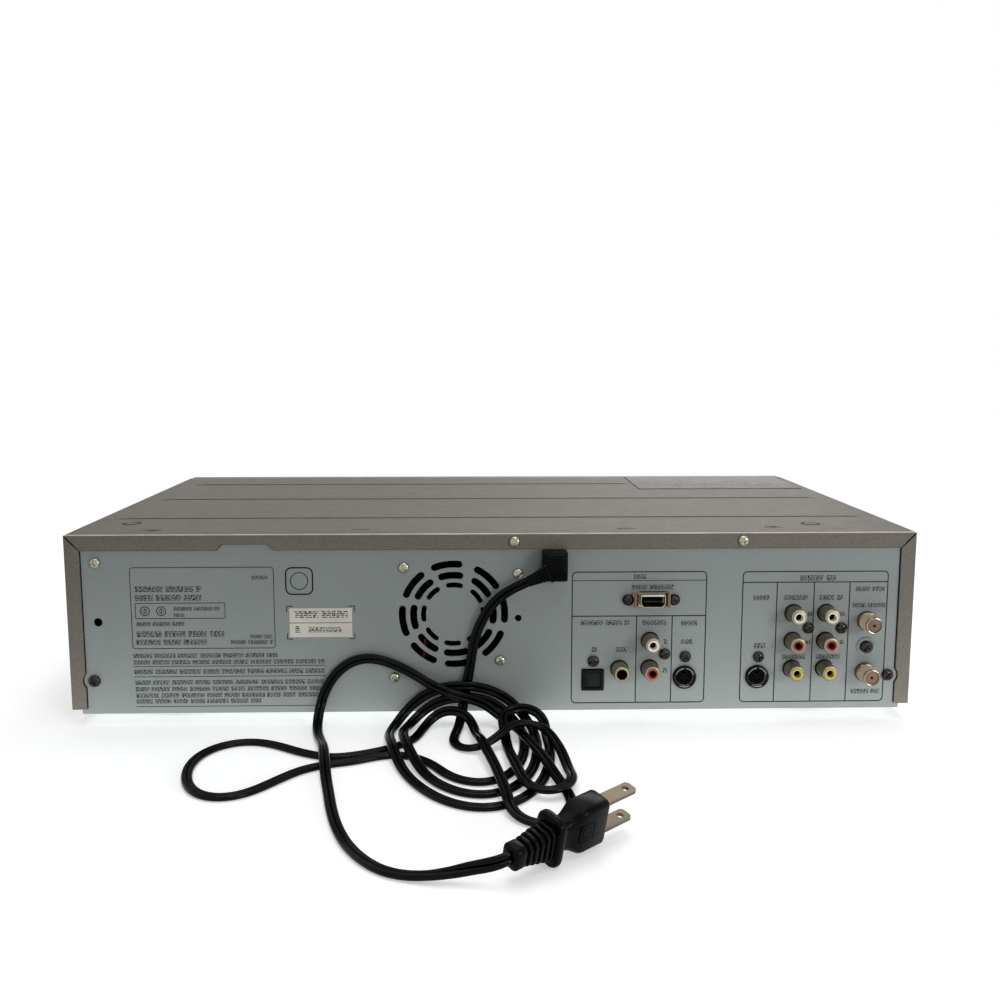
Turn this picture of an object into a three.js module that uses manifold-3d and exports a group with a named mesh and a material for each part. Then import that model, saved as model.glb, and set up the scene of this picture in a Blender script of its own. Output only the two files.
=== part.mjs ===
// A disc and video cassette combination player with its mains cord lying behind it.
// Millimetres, +Z up, the floor is z = 0. The front faces -Y and the jacks face +Y.
import * as THREE from 'three';
import { mergeVertices } from 'three/addons/utils/BufferGeometryUtils.js';
import Module from 'manifold-3d';

const wasm = await Module();
wasm.setup();

// Clearances
const seat = 0.3;
const slideGap = 0.4;
const overrun = 2;

// Case
const caseWidth = 435;
const caseHeight = 99.5;
const coverDepth = 246.5;
const coverSheet = 0.8;
const coverSideHeight = 91.1;
const coverLipHeight = 8;
const coverFlangeWidth = 7.6;
const mitreSlit = 0.5;
const mitreLand = 0.7;
const chassisSheet = 1;
const chassisInset = 5;
const panWallHeight = 16;
const frontDepth = 21.7;
const frontTopDrop = 0.7;
const buttonProud = 1.2;
const connectorReach = 12.5;
const footHeight = 5.4;
const footRadius = 11;
const footTopRadius = 9.5;
const footSideInset = 48;
const footFrontInset = 34;
const footRearInset = 31;

const halfWidth = caseWidth / 2;
const totalDepth = buttonProud + frontDepth + seat + coverDepth + connectorReach;
const yFront = -totalDepth / 2 + buttonProud;
const yCoverFront = yFront + frontDepth + seat;
const yCoverRear = yCoverFront + coverDepth;
const yPanelOut = yCoverRear - coverSheet - seat;
const yPanelIn = yPanelOut - chassisSheet;
const yReach = yCoverRear + connectorReach;
const zPanBottom = footHeight + seat;
const zPanTop = zPanBottom + chassisSheet;
const zCoverIn = caseHeight - coverSheet;
const zCoverBottom = caseHeight - coverSideHeight;
const chassisHalfWidth = halfWidth - chassisInset;
const coverInnerHalf = halfWidth - coverSheet;

// Rear layout: a place across from the centre line, positive on the left seen from behind,
// and a drop down from the top of the case
const coverScrewDrop = 76;
const coverScrewInset = 11.6;
const screwRelief = 5.4;
const smallHoleRadius = 1.7;
const notchCentre = 126.6;
const notchBottomWidth = 28.8;
const notchTopWidth = 23;
const notchHeight = 3.1;
const lipScrewDrop = 4.2;
const lipScrewLeft = -10.4;
const lipScrewRight = -127.7;
const topSlitLength = 9.6;
const topSlitWidth = 1;
const topSlitFromRear = 14.7;
const topSlitX = 69.5;

// Fan and its grille
const fanX = 21;
const fanDrop = 42;
const fanSize = 60;
const fanDepth = 15;
const fanBore = 28;
const fanHubRadius = 11;
const fanBladeTip = 26.8;
const fanBladeThickness = 1.4;
const fanBladeCount = 7;
const fanBladeTwist = 0.6;
const grilleSectors = 8;
const grilleRings = [
  { radius: 26, slotWidth: 3.2, reach: 0.225, turn: 0.134 },
  { radius: 20.4, slotWidth: 3.2, reach: 0.234, turn: 0.068 },
  { radius: 15.3, slotWidth: 2.3, reach: 0.2, turn: -0.035 },
];
const grilleArcSteps = 5;

// Cord bushing in the rear panel
const bushingX = -30.6;
const bushingTopDrop = 8.2;
const bushingWidth = 13.3;
const bushingHeight = 15.6;
const bushingDepth = 12.4;
const bushingNeck = 8.4;
const bushingInner = 5;
const snoutLength = 8;
const snoutThickness = 6;
const snoutHeight = 6.6;

// Jacks
const jackBodyDepth = 12;
const jackBodyWidth = 12;
const jackBodyMargin = 6.5;
const jackBarrelRadius = 4.15;
const jackBarrelReach = 9.8;
const jackBoreRadius = 1.7;
const jackBoreDepth = 8;
const jackPitch = 14.8;
const jackHoleClearance = 0.35;
const avInX = -155.2;
const avColumnPitch = 17.1;
const avTopDrop = 42.1;
const discAudioX = -80.7;
const discAudioDrop = 56.3;
const coaxX = -65;
const coaxDrop = 71;
const sVideoInX = -137.2;
const sVideoOutX = -99.1;
const sVideoDrop = 76.4;
const sVideoRadius = 5.8;
const sVideoReach = 1.6;
const sVideoBore = 4.4;
const sVideoBoreDepth = 7;
const opticalX = -51.2;
const opticalDrop = 77.5;
const opticalSize = 10.9;
const opticalReach = 1.2;
const opticalRecess = 0.8;
const opticalShutter = 8;
const componentX = -81.8;
const componentDrop = 34.9;
const componentShellWidth = 13.6;
const componentShellHeight = 7.6;
const componentWall = 0.8;
const componentSlant = 1.5;
const componentReach = 5;
const componentFlangeWidth = 29;
const componentFlangeHeight = 8;
const componentFlangeThickness = 0.8;
const componentTongue = 1.4;
const aerialX = -194.4;
const aerialTopDrop = 46.9;
const aerialPitch = 27.4;
const aerialBarrelRadius = 4.75;
const aerialBoreRadius = 0.9;
const aerialBoxWidth = 22;
const aerialBoxMargin = 10.5;
const aerialBoxDepth = 38;
const boardThickness = 1.6;

// Front panel
const fasciaWall = 3;
const fasciaBottomRound = 5;
const fasciaTopRound = 8;
const throatWall = 1.4;
const tapeX = -108;
const slotWidth = 194;
const slotHeight = 31;
const slotTopDrop = 11;
const doorThickness = 2.4;
const pinRadius = 0.7;
const pinLength = 2;
const pinClearance = 0.3;
const discX = 110;
const trayFasciaWidth = 158;
const trayFasciaHeight = 19;
const trayFasciaThickness = 3;
const trayOpeningDrop = 19.5;
const windowWidth = 150;
const windowThickness = 1.6;
const windowLedge = 3;
const flapX = -165;
const flapWidth = 70;
const flapThickness = 1.8;
const frontJackPitch = 18;
const frontJackDepth = 10;
const frontJackReach = 1.6;
const buttonTravel = 0.8;
const buttonFlange = 1.2;
const buttonLip = 1;
const buttonWidth = 18;
const buttonHeight = 6;
const buttonPitch = 25;
const firstButtonX = -190;
const roundButtonRadius = 6;
const roundButtonInset = 14.5;
const rockerX = -50;
const rockerWidth = 8;
const frontBoardBack = 4;
const switchSize = 6;
const switchDepth = 4;
const bossRadius = 3;

// Disc drive
const driveWidth = 146;
const driveWall = 2.5;
const driveRearReach = 50;
const driveBaseZ = 44;
const driveBaseThickness = 2;
const traySideGap = 5.5;
const discRecessRim = 4.5;
const rackInset = 10;
const trayThickness = 5;
const trayLift = 5.6;
const discFromTrayFront = 70;
const trayBehindDisc = 108;
const discRecessDepth = 2.2;
const smallRecessRadius = 40.5;
const smallRecessDepth = 1;
const trayWindowWidth = 38;
const trayWindowReach = 52;
const trayFrontWall = 2;
const gearModule = 1.5;
const pinionTeeth = 12;
const toothShare = 0.38;
const rackHeight = 3.6;
const rackBody = 3;
const pinionFromTrayFront = 37;
const bridgeThickness = 2;
const bridgeLength = 34;
const clamperHubRadius = 12;
const clamperFlangeRadius = 15;
const clamperFlangeThickness = 2.6;
const clamperBottomGap = 2.8;
const traverseWidth = 60;
const traverseThickness = 2.5;
const traverseFront = 32;
const traverseRear = 104;
const turntableRadius = 15;
const turntableThickness = 3.6;
const turntableNoseRadius = 7.3;
const turntableNoseHeight = 2.4;
const turntableGapToTray = 1.5;
const motorRadius = 14;
const motorHeight = 8;
const spindleRadius = 1.5;
const sledLength = 30;
const sledWidth = 40;
const sledHeight = 6.4;
const sledStart = 19;
const sledTravel = 34;
const rodRadius = 1.5;
const lensRadius = 4;
const lensHeight = 2.4;

// Tape deck
const deckHalfWidth = 99;
const deckZ = 20;
const deckSheet = 2;
const deckFold = 6;
const deckFrontGap = 9.5;
const deckDepth = 190;
const sidePlateSheet = 1.4;
const sidePlateDepth = 128;
const sliderSheet = 1.4;
const sliderInward = 16;
const carriageDrop = 26;
const carriageSideGap = 4.7;
const carriageInnerHeight = 26.5;
const carriageSheet = 1;
const carriageDepth = 100;
const carriageLedge = 16;
const reelSpacing = 92;
const reelRadius = 14;
const reelTableThickness = 4;
const reelSpindleRadius = 4;
const reelSpindleHeight = 12;
const reelFromDeckFront = 66;
const drumRadius = 31;
const drumHeight = 12;
const drumTilt = 5.9;
const drumFromDeckFront = 156;
const drumOffset = -6;
const capstanOffset = 58;
const capstanFromDeckFront = 140;
const capstanRadius = 2;
const capstanHeight = 30;
const flywheelRadius = 22;
const flywheelThickness = 4;
const legRadius = 4;

// Boards
const standoffHeight = 8;
const standoffRadius = 3;
const mainBoardDepth = 32;
const powerBoardWidth = 143;
const powerBoardDepth = 54;
const powerBoardInset = 12.5;
const transformerSize = 40;
const transformerHeight = 30;
const capacitorRadius = 9;
const capacitorHeight = 26;
const heatSinkThickness = 8;
const chipHeight = 3;

// Mains cord and plug: a flat twin flex
const cordWidth = 5.2;
const cordThickness = 2.7;
const flexFlat = 3.2;
const cordRest = 1.45;
const cordLayer = 3.3;
const cordCorner = 16;
const cordStep = 2.5;
const cordMeshStep = 5;
const cordSlope = 0.45;
const cordSkip = 14;
const cordReach = 6.2;
const cordTouch = 5.6;
const cordSoftening = 2;
const settleRounds = 60;
const twistLength = 34;
const bladeLength = 18;
const bladeRoot = 3;
const bladeWidth = 6.3;
const bladeThickness = 1.5;
const bladeTipChamfer = 1.2;
const bladeSpacing = 12.7;
const bladeHoleRadius = 1.5;
const bladeHoleFromTip = 4;
const plugLength = 19;
const plugNeck = 5;
const plugHeight = 20;
const plugThickness = 11;
const plugCorner = 3;
const collarThickness = 4;
const collarHeight = 21;
const collarWidth = 13.5;
const reliefLength = 18;
const reliefCap = 5;
const reliefStart = [8.4, 9.4];
const reliefEnd = [10.5, 14.5];
const reliefRibs = 5;
const reliefRibShare = 0.55;
const reliefRibDepth = 1.2;
const plugPlace = [-1.9, 172.6];
const plugYaw = 129.7;
const plugPitch = 3;
const plugRoll = 14;
const plugTwist = 76;
const plugApproach = 4;
const plugRest = 0.05;
const degree = Math.PI / 180;

// Finishes
const finish = (color, roughness, metalness) => new THREE.MeshStandardMaterial({ color, roughness, metalness });
const finishes = {
  coverPaint: finish(0x857c76, 0.5, 0.5),
  galvanised: finish(0x8f948f, 0.45, 0.7),
  fasciaPlastic: finish(0x6f6a66, 0.45, 0.1),
  darkPlastic: finish(0x232323, 0.5, 0),
  smokedWindow: finish(0x101214, 0.1, 0),
  greyPlastic: finish(0x8d8d8a, 0.5, 0),
  steel: finish(0xb9bab8, 0.35, 0.9),
  brass: finish(0xc9b47a, 0.35, 0.9),
  nickel: finish(0xb8ab95, 0.35, 0.9),
  board: finish(0x3f6b3a, 0.6, 0),
  rubber: finish(0x1b1b1b, 0.8, 0),
  cordPlastic: finish(0x0c0c0c, 0.35, 0),
};

// Solids
const toSolid = (geometry) => {
  const bare = geometry.index ? geometry.toNonIndexed() : geometry.clone();
  for (const name of Object.keys(bare.attributes)) if (name !== 'position') bare.deleteAttribute(name);
  const merged = mergeVertices(bare, 1e-4);
  const corners = [];
  for (let i = 0; i < merged.index.count; i += 3) {
    const [a, b, c] = [merged.index.getX(i), merged.index.getX(i + 1), merged.index.getX(i + 2)];
    if (a !== b && b !== c && a !== c) corners.push(a, b, c);
  }
  return new wasm.Manifold(new wasm.Mesh({
    numProp: 3,
    vertProperties: new Float32Array(merged.attributes.position.array),
    triVerts: new Uint32Array(corners),
  }));
};

const toGeometry = (solid) => {
  const mesh = solid.getMesh();
  const geometry = new THREE.BufferGeometry();
  geometry.setAttribute('position', new THREE.BufferAttribute(new Float32Array(mesh.vertProperties), 3));
  geometry.setIndex(new THREE.BufferAttribute(new Uint32Array(mesh.triVerts), 1));
  geometry.computeVertexNormals();
  return geometry;
};

const join = (...solids) => solids.reduce((all, one) => all.add(one));
const cut = (solid, ...tools) => tools.reduce((rest, tool) => rest.subtract(tool), solid);

const block = (x0, x1, y0, y1, z0, z1) => {
  const geometry = new THREE.BoxGeometry(x1 - x0, y1 - y0, z1 - z0);
  return toSolid(geometry.translate((x0 + x1) / 2, (y0 + y1) / 2, (z0 + z1) / 2));
};

// A block given by its middle and its half sizes across, with its start and end along y
const slab = (x, z, halfX, halfZ, y0, y1) => block(x - halfX, x + halfX, y0, y1, z - halfZ, z + halfZ);

const turnedTo = {
  x: (geometry) => geometry.rotateZ(-Math.PI / 2),
  y: (geometry) => geometry,
  z: (geometry) => geometry.rotateX(Math.PI / 2),
};

// A round bar along an axis, from one place on it to another
const bar = (axis, radius, from, to, at, sides = 20, endRadius = radius) => {
  const geometry = new THREE.CylinderGeometry(endRadius, radius, to - from, sides);
  turnedTo[axis](geometry);
  const middle = (from + to) / 2;
  if (axis === 'x') geometry.translate(middle, at[0], at[1]);
  if (axis === 'y') geometry.translate(at[0], middle, at[1]);
  if (axis === 'z') geometry.translate(at[0], at[1], middle);
  return toSolid(geometry);
};

const shapeOf = (points) => new THREE.Shape(points.map(([a, b]) => new THREE.Vector2(a, b)));

// An outline in x and z, run along y
const alongY = (shape, y0, y1, curveSegments = 6) => {
  const geometry = new THREE.ExtrudeGeometry(shape, { depth: y1 - y0, bevelEnabled: false, curveSegments });
  return toSolid(geometry.rotateX(Math.PI / 2).translate(0, y1, 0));
};

// An outline in y and z, run along x
const alongX = (shape, x0, x1, curveSegments = 6) => {
  const geometry = new THREE.ExtrudeGeometry(shape, { depth: x1 - x0, bevelEnabled: false, curveSegments });
  const axes = [new THREE.Vector3(0, 1, 0), new THREE.Vector3(0, 0, 1), new THREE.Vector3(1, 0, 0)];
  return toSolid(geometry.applyMatrix4(new THREE.Matrix4().makeBasis(...axes)).translate(x0, 0, 0));
};

// An outline in x and y, run up z
const alongZ = (shape, z0, z1, curveSegments = 6) => {
  const geometry = new THREE.ExtrudeGeometry(shape, { depth: z1 - z0, bevelEnabled: false, curveSegments });
  return toSolid(geometry.translate(0, 0, z0));
};

const player = new THREE.Group();

const add = (name, solid, material, group = player) => {
  const geometry = solid.isBufferGeometry ? solid : toGeometry(solid);
  const mesh = new THREE.Mesh(geometry, finishes[material]);
  mesh.name = name;
  group.add(mesh);
  return mesh;
};

// Height of a place given as its drop from the top of the case
const down = (drop) => caseHeight - drop;

// Top cover
const coverScrewX = halfWidth - coverScrewInset;

const addTopCover = () => {
  const outer = block(-halfWidth, halfWidth, yCoverFront, yCoverRear, zCoverBottom, caseHeight);
  const hollow = block(
    -coverInnerHalf, coverInnerHalf, yCoverFront - overrun, yCoverRear - coverSheet,
    zCoverBottom - overrun, zCoverIn,
  );
  const windowHalf = halfWidth - coverFlangeWidth;
  const rearWindow = block(
    -windowHalf, windowHalf, yCoverRear - coverSheet - overrun, yCoverRear + overrun,
    zCoverBottom - overrun, down(coverLipHeight),
  );
  const hemInner = chassisHalfWidth + seat;
  const hemTop = zCoverBottom + coverSheet;
  const hemRear = yCoverRear - coverSheet / 2;
  const hemOuter = halfWidth - coverSheet / 2;
  const rightHem = block(hemInner, hemOuter, yCoverFront, hemRear, zCoverBottom, hemTop);
  const leftHem = block(-hemOuter, -hemInner, yCoverFront, hemRear, zCoverBottom, hemTop);
  const mitre = (side) => {
    const inner = [side * windowHalf, down(coverLipHeight)];
    const outerCorner = [side * (halfWidth - mitreLand), down(mitreLand)];
    const slit = side * mitreSlit;
    return alongY(
      shapeOf([
        [inner[0] - slit, inner[1]], [inner[0], inner[1] - mitreSlit],
        [outerCorner[0], outerCorner[1] - mitreSlit], [outerCorner[0] - slit, outerCorner[1]],
      ]),
      yCoverRear - coverSheet - overrun, yCoverRear + overrun,
    );
  };
  const lipEdge = down(coverLipHeight);
  const notch = alongY(
    shapeOf([
      [notchCentre - notchBottomWidth / 2, lipEdge - overrun],
      [notchCentre + notchBottomWidth / 2, lipEdge - overrun],
      [notchCentre + notchBottomWidth / 2, lipEdge],
      [notchCentre + notchTopWidth / 2, lipEdge + notchHeight],
      [notchCentre - notchTopWidth / 2, lipEdge + notchHeight],
      [notchCentre - notchBottomWidth / 2, lipEdge],
    ]),
    yCoverRear - coverSheet - overrun, yCoverRear + overrun,
  );
  const throughRear = (radius, x, z, sides) => bar(
    'y', radius, yCoverRear - coverSheet - overrun, yCoverRear + overrun, [x, z], sides,
  );
  const reliefs = [-1, 1].map((side) => throughRear(screwRelief, side * coverScrewX, down(coverScrewDrop), 20));
  const lipHoles = [lipScrewLeft, lipScrewRight].map((x) => throughRear(
    smallHoleRadius, x, down(lipScrewDrop), 10,
  ));
  const slits = [-1, 1].map((side) => block(
    side * topSlitX - topSlitLength / 2, side * topSlitX + topSlitLength / 2,
    yCoverRear - topSlitFromRear - topSlitWidth / 2, yCoverRear - topSlitFromRear + topSlitWidth / 2,
    zCoverIn - overrun, caseHeight + overrun,
  ));
  const shell = cut(outer, hollow, rearWindow);
  add('top_cover', cut(join(shell, rightHem, leftHem), mitre(1), mitre(-1), notch, ...reliefs, ...lipHoles,
    ...slits), 'coverPaint');
};

// Rear panel with the holes that its jacks, fan and screws need
const avOutX = avInX - avColumnPitch;
const avDrops = [avTopDrop, avTopDrop + jackPitch, avTopDrop + 2 * jackPitch];
const discAudioDrops = [discAudioDrop, discAudioDrop + jackPitch];
const aerialDrops = [aerialTopDrop, aerialTopDrop + aerialPitch];
const fanCentre = [fanX, down(fanDrop)];
const fanHolePitch = fanSize * 5 / 6;
const bushingZ = down(bushingTopDrop + bushingHeight / 2);

// A slot of the grille: an arc of constant width with pointed round ends
const grilleSlot = ({ radius: ringRadius, slotWidth, reach, turn }, sector) => {
  const middle = turn + sector * 2 * Math.PI / grilleSectors;
  const half = slotWidth / 2;
  const at = (radius, angle) => [fanCentre[0] + radius * Math.sin(angle), fanCentre[1] + radius * Math.cos(angle)];
  const sweep = (radius, from, to) => Array.from(
    { length: grilleArcSteps + 1 },
    (_, i) => at(radius, from + (to - from) * i / grilleArcSteps),
  );
  const tip = half / ringRadius;
  const outline = [
    ...sweep(ringRadius + half, middle - reach, middle + reach),
    at(ringRadius + half / 2, middle + reach + tip), at(ringRadius - half / 2, middle + reach + tip),
    ...sweep(ringRadius - half, middle + reach, middle - reach),
    at(ringRadius - half / 2, middle - reach - tip), at(ringRadius + half / 2, middle - reach - tip),
  ];
  return alongY(shapeOf(outline.reverse()), yPanelIn - overrun, yPanelOut + overrun);
};

const addRearPanel = () => {
  const plate = block(-chassisHalfWidth, chassisHalfWidth, yPanelIn, yPanelOut, zPanBottom, zCoverIn - seat);
  const hole = (radius, x, drop, sides = 12) => bar(
    'y', radius, yPanelIn - overrun, yPanelOut + overrun, [x, down(drop)], sides,
  );
  const window = (x, drop, width, height) => slab(
    x, down(drop), width / 2, height / 2, yPanelIn - overrun, yPanelOut + overrun,
  );
  const barrelHole = jackBarrelRadius + jackHoleClearance;
  const tools = [];
  for (const ring of grilleRings) {
    for (let sector = 0; sector < grilleSectors; sector += 1) tools.push(grilleSlot(ring, sector));
  }
  for (const x of [avInX, avOutX]) for (const drop of avDrops) tools.push(hole(barrelHole, x, drop, 16));
  for (const drop of discAudioDrops) tools.push(hole(barrelHole, discAudioX, drop, 16));
  tools.push(hole(barrelHole, coaxX, coaxDrop, 16));
  for (const x of [sVideoInX, sVideoOutX]) tools.push(hole(sVideoRadius + jackHoleClearance, x, sVideoDrop, 20));
  for (const drop of aerialDrops) {
    tools.push(hole(aerialBarrelRadius + jackHoleClearance, aerialX, drop, 16));
  }
  tools.push(window(
    opticalX, opticalDrop, opticalSize + 2 * jackHoleClearance, opticalSize + 2 * jackHoleClearance,
  ));
  tools.push(window(
    componentX, componentDrop, componentShellWidth + 2 * jackHoleClearance,
    componentShellHeight + 2 * jackHoleClearance,
  ));
  const neckHole = bushingNeck + 2 * jackHoleClearance;
  tools.push(window(bushingX, bushingTopDrop + bushingHeight / 2, neckHole, neckHole));
  for (const side of [-1, 1]) tools.push(hole(smallHoleRadius, side * coverScrewX, coverScrewDrop));
  for (const side of [-1, 1]) {
    for (const level of [-1, 1]) {
      tools.push(hole(smallHoleRadius, fanX + side * fanHolePitch / 2, fanDrop + level * fanHolePitch / 2));
    }
  }
  add('rear_panel', cut(plate, ...tools), 'galvanised');
};

// Chassis pan with the posts that carry the boards
const boardZ = zPanTop + standoffHeight + seat;
const jackBodyFront = yPanelIn - seat - jackBodyDepth;
const jackBoardFront = jackBodyFront - seat - boardThickness;
const mainBoardRear = jackBoardFront - seat;
const aerialFront = yPanelIn - seat - aerialBoxDepth;
const aerialOuterX = aerialX - aerialBoxWidth / 2;
const aerialInnerX = aerialX + aerialBoxWidth / 2;
const deckFront = yCoverFront + deckFrontGap;
const deckRear = deckFront + deckDepth;
const mainBoardFront = Math.max(mainBoardRear - mainBoardDepth, deckRear + slideGap);
const fanLeft = fanX - fanSize / 2;
const mainBoardX0 = aerialInnerX + slideGap;
const mainBoardX1 = fanLeft - slideGap;
const powerBoardX1 = chassisHalfWidth - powerBoardInset;
const powerBoardX0 = powerBoardX1 - powerBoardWidth;
const powerBoardRear = yPanelIn - powerBoardInset;
const powerBoardFront = powerBoardRear - powerBoardDepth;
const postInset = 2 * standoffRadius;

const corners = (x0, x1, y0, y1, inset) => [
  [x0 + inset, y0 + inset], [x1 - inset, y0 + inset], [x0 + inset, y1 - inset], [x1 - inset, y1 - inset],
];

const addChassisPan = () => {
  const panRear = yPanelIn - seat;
  const tray = cut(
    block(-chassisHalfWidth, chassisHalfWidth, yCoverFront, panRear, zPanBottom, zPanTop + panWallHeight),
    block(
      -chassisHalfWidth + chassisSheet, chassisHalfWidth - chassisSheet,
      yCoverFront + chassisSheet, panRear + overrun, zPanTop, zPanTop + panWallHeight + overrun,
    ),
  );
  const posts = [
    ...corners(mainBoardX0, mainBoardX1, mainBoardFront, mainBoardRear, postInset),
    ...corners(powerBoardX0, powerBoardX1, powerBoardFront, powerBoardRear, postInset),
  ].map((at) => bar('z', standoffRadius, zPanTop - chassisSheet / 2, boardZ - seat, at, 8));
  add('chassis_pan', join(tray, ...posts), 'galvanised');
};

const addFeet = () => {
  const rows = { front: yCoverFront + footFrontInset, rear: yCoverRear - footRearInset };
  for (const [row, y] of Object.entries(rows)) {
    for (const [name, side] of [['left', 1], ['right', -1]]) {
      const profile = [
        [0, 0], [footRadius, 0], [footRadius, footHeight / 2], [footTopRadius, footHeight], [0, footHeight],
      ];
      const lathe = new THREE.LatheGeometry(profile.map(([r, z]) => new THREE.Vector2(r, z)), 20);
      const foot = add(`foot_${row}_${name}`, toSolid(lathe.rotateX(Math.PI / 2)), 'rubber');
      foot.position.set(side * (halfWidth - footSideInset), y, 0);
    }
  }
};

// Jack blocks behind the panel with their barrels through it
const rcaBlock = (name, x, drops, material) => {
  const levels = drops.map(down);
  const body = block(
    x - jackBodyWidth / 2, x + jackBodyWidth / 2, jackBodyFront, yPanelIn - seat,
    Math.min(...levels) - jackBodyMargin, Math.max(...levels) + jackBodyMargin,
  );
  const tip = yPanelOut + jackBarrelReach;
  const barrels = levels.map((z) => bar('y', jackBarrelRadius, yPanelIn - seat - overrun, tip, [x, z], 16));
  const bores = levels.map((z) => bar('y', jackBoreRadius, tip - jackBoreDepth, tip + overrun, [x, z], 8));
  add(name, cut(join(body, ...barrels), ...bores), material);
};

const addSVideoJack = (name, x) => {
  const z = down(sVideoDrop);
  const body = slab(x, z, jackBodyWidth / 2, jackBodyMargin, jackBodyFront, yPanelIn - seat);
  const tip = yPanelOut + sVideoReach;
  const face = bar('y', sVideoRadius, yPanelIn - seat - overrun, tip, [x, z], 20);
  const bore = bar('y', sVideoBore, tip - sVideoBoreDepth, tip + overrun, [x, z], 16);
  add(name, cut(join(body, face), bore), 'darkPlastic');
};

const addOpticalJack = () => {
  const z = down(opticalDrop);
  const half = opticalSize / 2;
  const tip = yPanelOut + opticalReach;
  const body = slab(opticalX, z, half, half, jackBodyFront, tip);
  const recess = slab(
    opticalX, z, opticalShutter / 2, opticalShutter / 2, tip - opticalRecess, tip + overrun,
  );
  add('optical_jack', cut(body, recess), 'darkPlastic');
};

// The component socket: a flanged shell of slanted sides round a flat tongue
const addComponentJack = () => {
  const z = down(componentDrop);
  const tip = yPanelOut + componentReach;
  const outline = (inset) => {
    const [w, h] = [componentShellWidth / 2 - inset, componentShellHeight / 2 - inset];
    return shapeOf([
      [componentX - w + componentSlant, z - h], [componentX + w - componentSlant, z - h],
      [componentX + w, z + h], [componentX - w, z + h],
    ]);
  };
  const shell = cut(
    alongY(outline(0), jackBodyFront, tip),
    alongY(outline(componentWall), yPanelOut, tip + overrun),
  );
  const flange = slab(
    componentX, z, componentFlangeWidth / 2, componentFlangeHeight / 2,
    yPanelOut + seat, yPanelOut + seat + componentFlangeThickness,
  );
  const bore = alongY(outline(componentWall), yPanelOut, tip + overrun);
  const tongue = slab(
    componentX, z, componentShellWidth / 2 - 2 * componentSlant, componentTongue / 2,
    yPanelOut - componentWall, tip - componentWall,
  );
  add('component_jack', join(cut(join(shell, flange), bore), tongue), 'steel');
};

const addAerialUnit = () => {
  const levels = aerialDrops.map(down);
  const box = block(
    aerialOuterX, aerialInnerX, aerialFront, yPanelIn - seat,
    Math.min(...levels) - aerialBoxMargin, Math.max(...levels) + aerialBoxMargin,
  );
  const barrels = levels.map((z) => bar(
    'y', aerialBarrelRadius, yPanelIn - seat - overrun, yReach, [aerialX, z], 16,
  ));
  const bores = levels.map((z) => bar(
    'y', aerialBoreRadius, yReach - jackBoreDepth, yReach + overrun, [aerialX, z], 8,
  ));
  add('rf_unit', cut(join(box, ...barrels), ...bores), 'nickel');
};

const addJackBoard = () => {
  const top = down(avTopDrop) + jackBodyMargin;
  const bottom = boardZ - boardThickness;
  const plate = block(
    mainBoardX0, coaxX + jackBodyWidth * 2, jackBoardFront, jackBoardFront + boardThickness, bottom, top,
  );
  add('jack_board', plate, 'board');
};

const addRearJacks = () => {
  rcaBlock('av_in_jacks', avInX, avDrops, 'nickel');
  rcaBlock('av_out_jacks', avOutX, avDrops, 'nickel');
  rcaBlock('dvd_audio_jacks', discAudioX, discAudioDrops, 'nickel');
  rcaBlock('coax_jack', coaxX, [coaxDrop], 'nickel');
  addSVideoJack('svideo_in', sVideoInX);
  addSVideoJack('svideo_out', sVideoOutX);
  addOpticalJack();
  addComponentJack();
  addAerialUnit();
  addJackBoard();
};

// Fan: a square frame with struts to its hub plate, and a bladed rotor on the same axis
const fanRear = yPanelIn - seat;
const fanFront = fanRear - fanDepth;

const addFan = () => {
  const [x, z] = fanCentre;
  const half = fanSize / 2;
  const hubPlate = 2;
  const frame = cut(
    slab(x, z, half, half, fanFront, fanRear),
    bar('y', fanBore, fanFront - overrun, fanRear + overrun, fanCentre, 32),
  );
  const plateRear = fanFront + hubPlate;
  const strutReach = fanBore + overrun;
  const struts = [
    slab(x, z, strutReach, hubPlate / 2, fanFront, plateRear),
    slab(x, z, hubPlate / 2, strutReach, fanFront, plateRear),
  ];
  const hub = bar('y', fanHubRadius, fanFront, plateRear, fanCentre, 20);
  add('fan_frame', join(frame, hub, ...struts), 'darkPlastic');

  const bladeFront = plateRear + slideGap;
  const bladeRear = fanRear - hubPlate;
  const rotorHub = bar('y', fanHubRadius, bladeFront, bladeRear, [0, 0], 20);
  const blades = [];
  for (let i = 0; i < fanBladeCount; i += 1) {
    const width = (bladeRear - bladeFront) - fanBladeThickness * 2;
    const length = fanBladeTip - fanHubRadius + overrun;
    const blade = new THREE.BoxGeometry(fanBladeThickness, width, length);
    blade.rotateZ(fanBladeTwist);
    blade.translate(0, (bladeFront + bladeRear) / 2, fanBladeTip - length / 2);
    blade.rotateY(i * 2 * Math.PI / fanBladeCount);
    blades.push(toSolid(blade));
  }
  const rotor = add('fan_rotor', join(rotorHub, ...blades), 'darkPlastic');
  rotor.position.set(x, 0, z);
};

// Front panel
const zFasciaTop = caseHeight - frontTopDrop;
const slotTop = caseHeight - slotTopDrop;
const slotBottom = slotTop - slotHeight;
const slotX0 = tapeX - slotWidth / 2;
const slotX1 = tapeX + slotWidth / 2;
const trayTopZ = caseHeight - trayOpeningDrop;
const trayBottomZ = trayTopZ - trayFasciaHeight - 2 * slideGap;
const trayMidZ = (trayTopZ + trayBottomZ) / 2;
const lowerFront = slotBottom - zPanBottom;
const lowerLevel = (share) => zPanBottom + share * lowerFront;
const windowZ = lowerLevel(0.507);
const windowHeight = 0.308 * lowerFront;
const flapBottom = lowerLevel(0.18);
const flapHeight = 0.347 * lowerFront;
const rockerZ = lowerLevel(0.45);
const rockerHeight = 0.424 * lowerFront;
const buttonRow = lowerLevel(0.739);
const powerButtonZ = lowerLevel(0.661);
const discButtonZ = trayMidZ;
const fasciaInner = yFront + fasciaWall;
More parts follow.
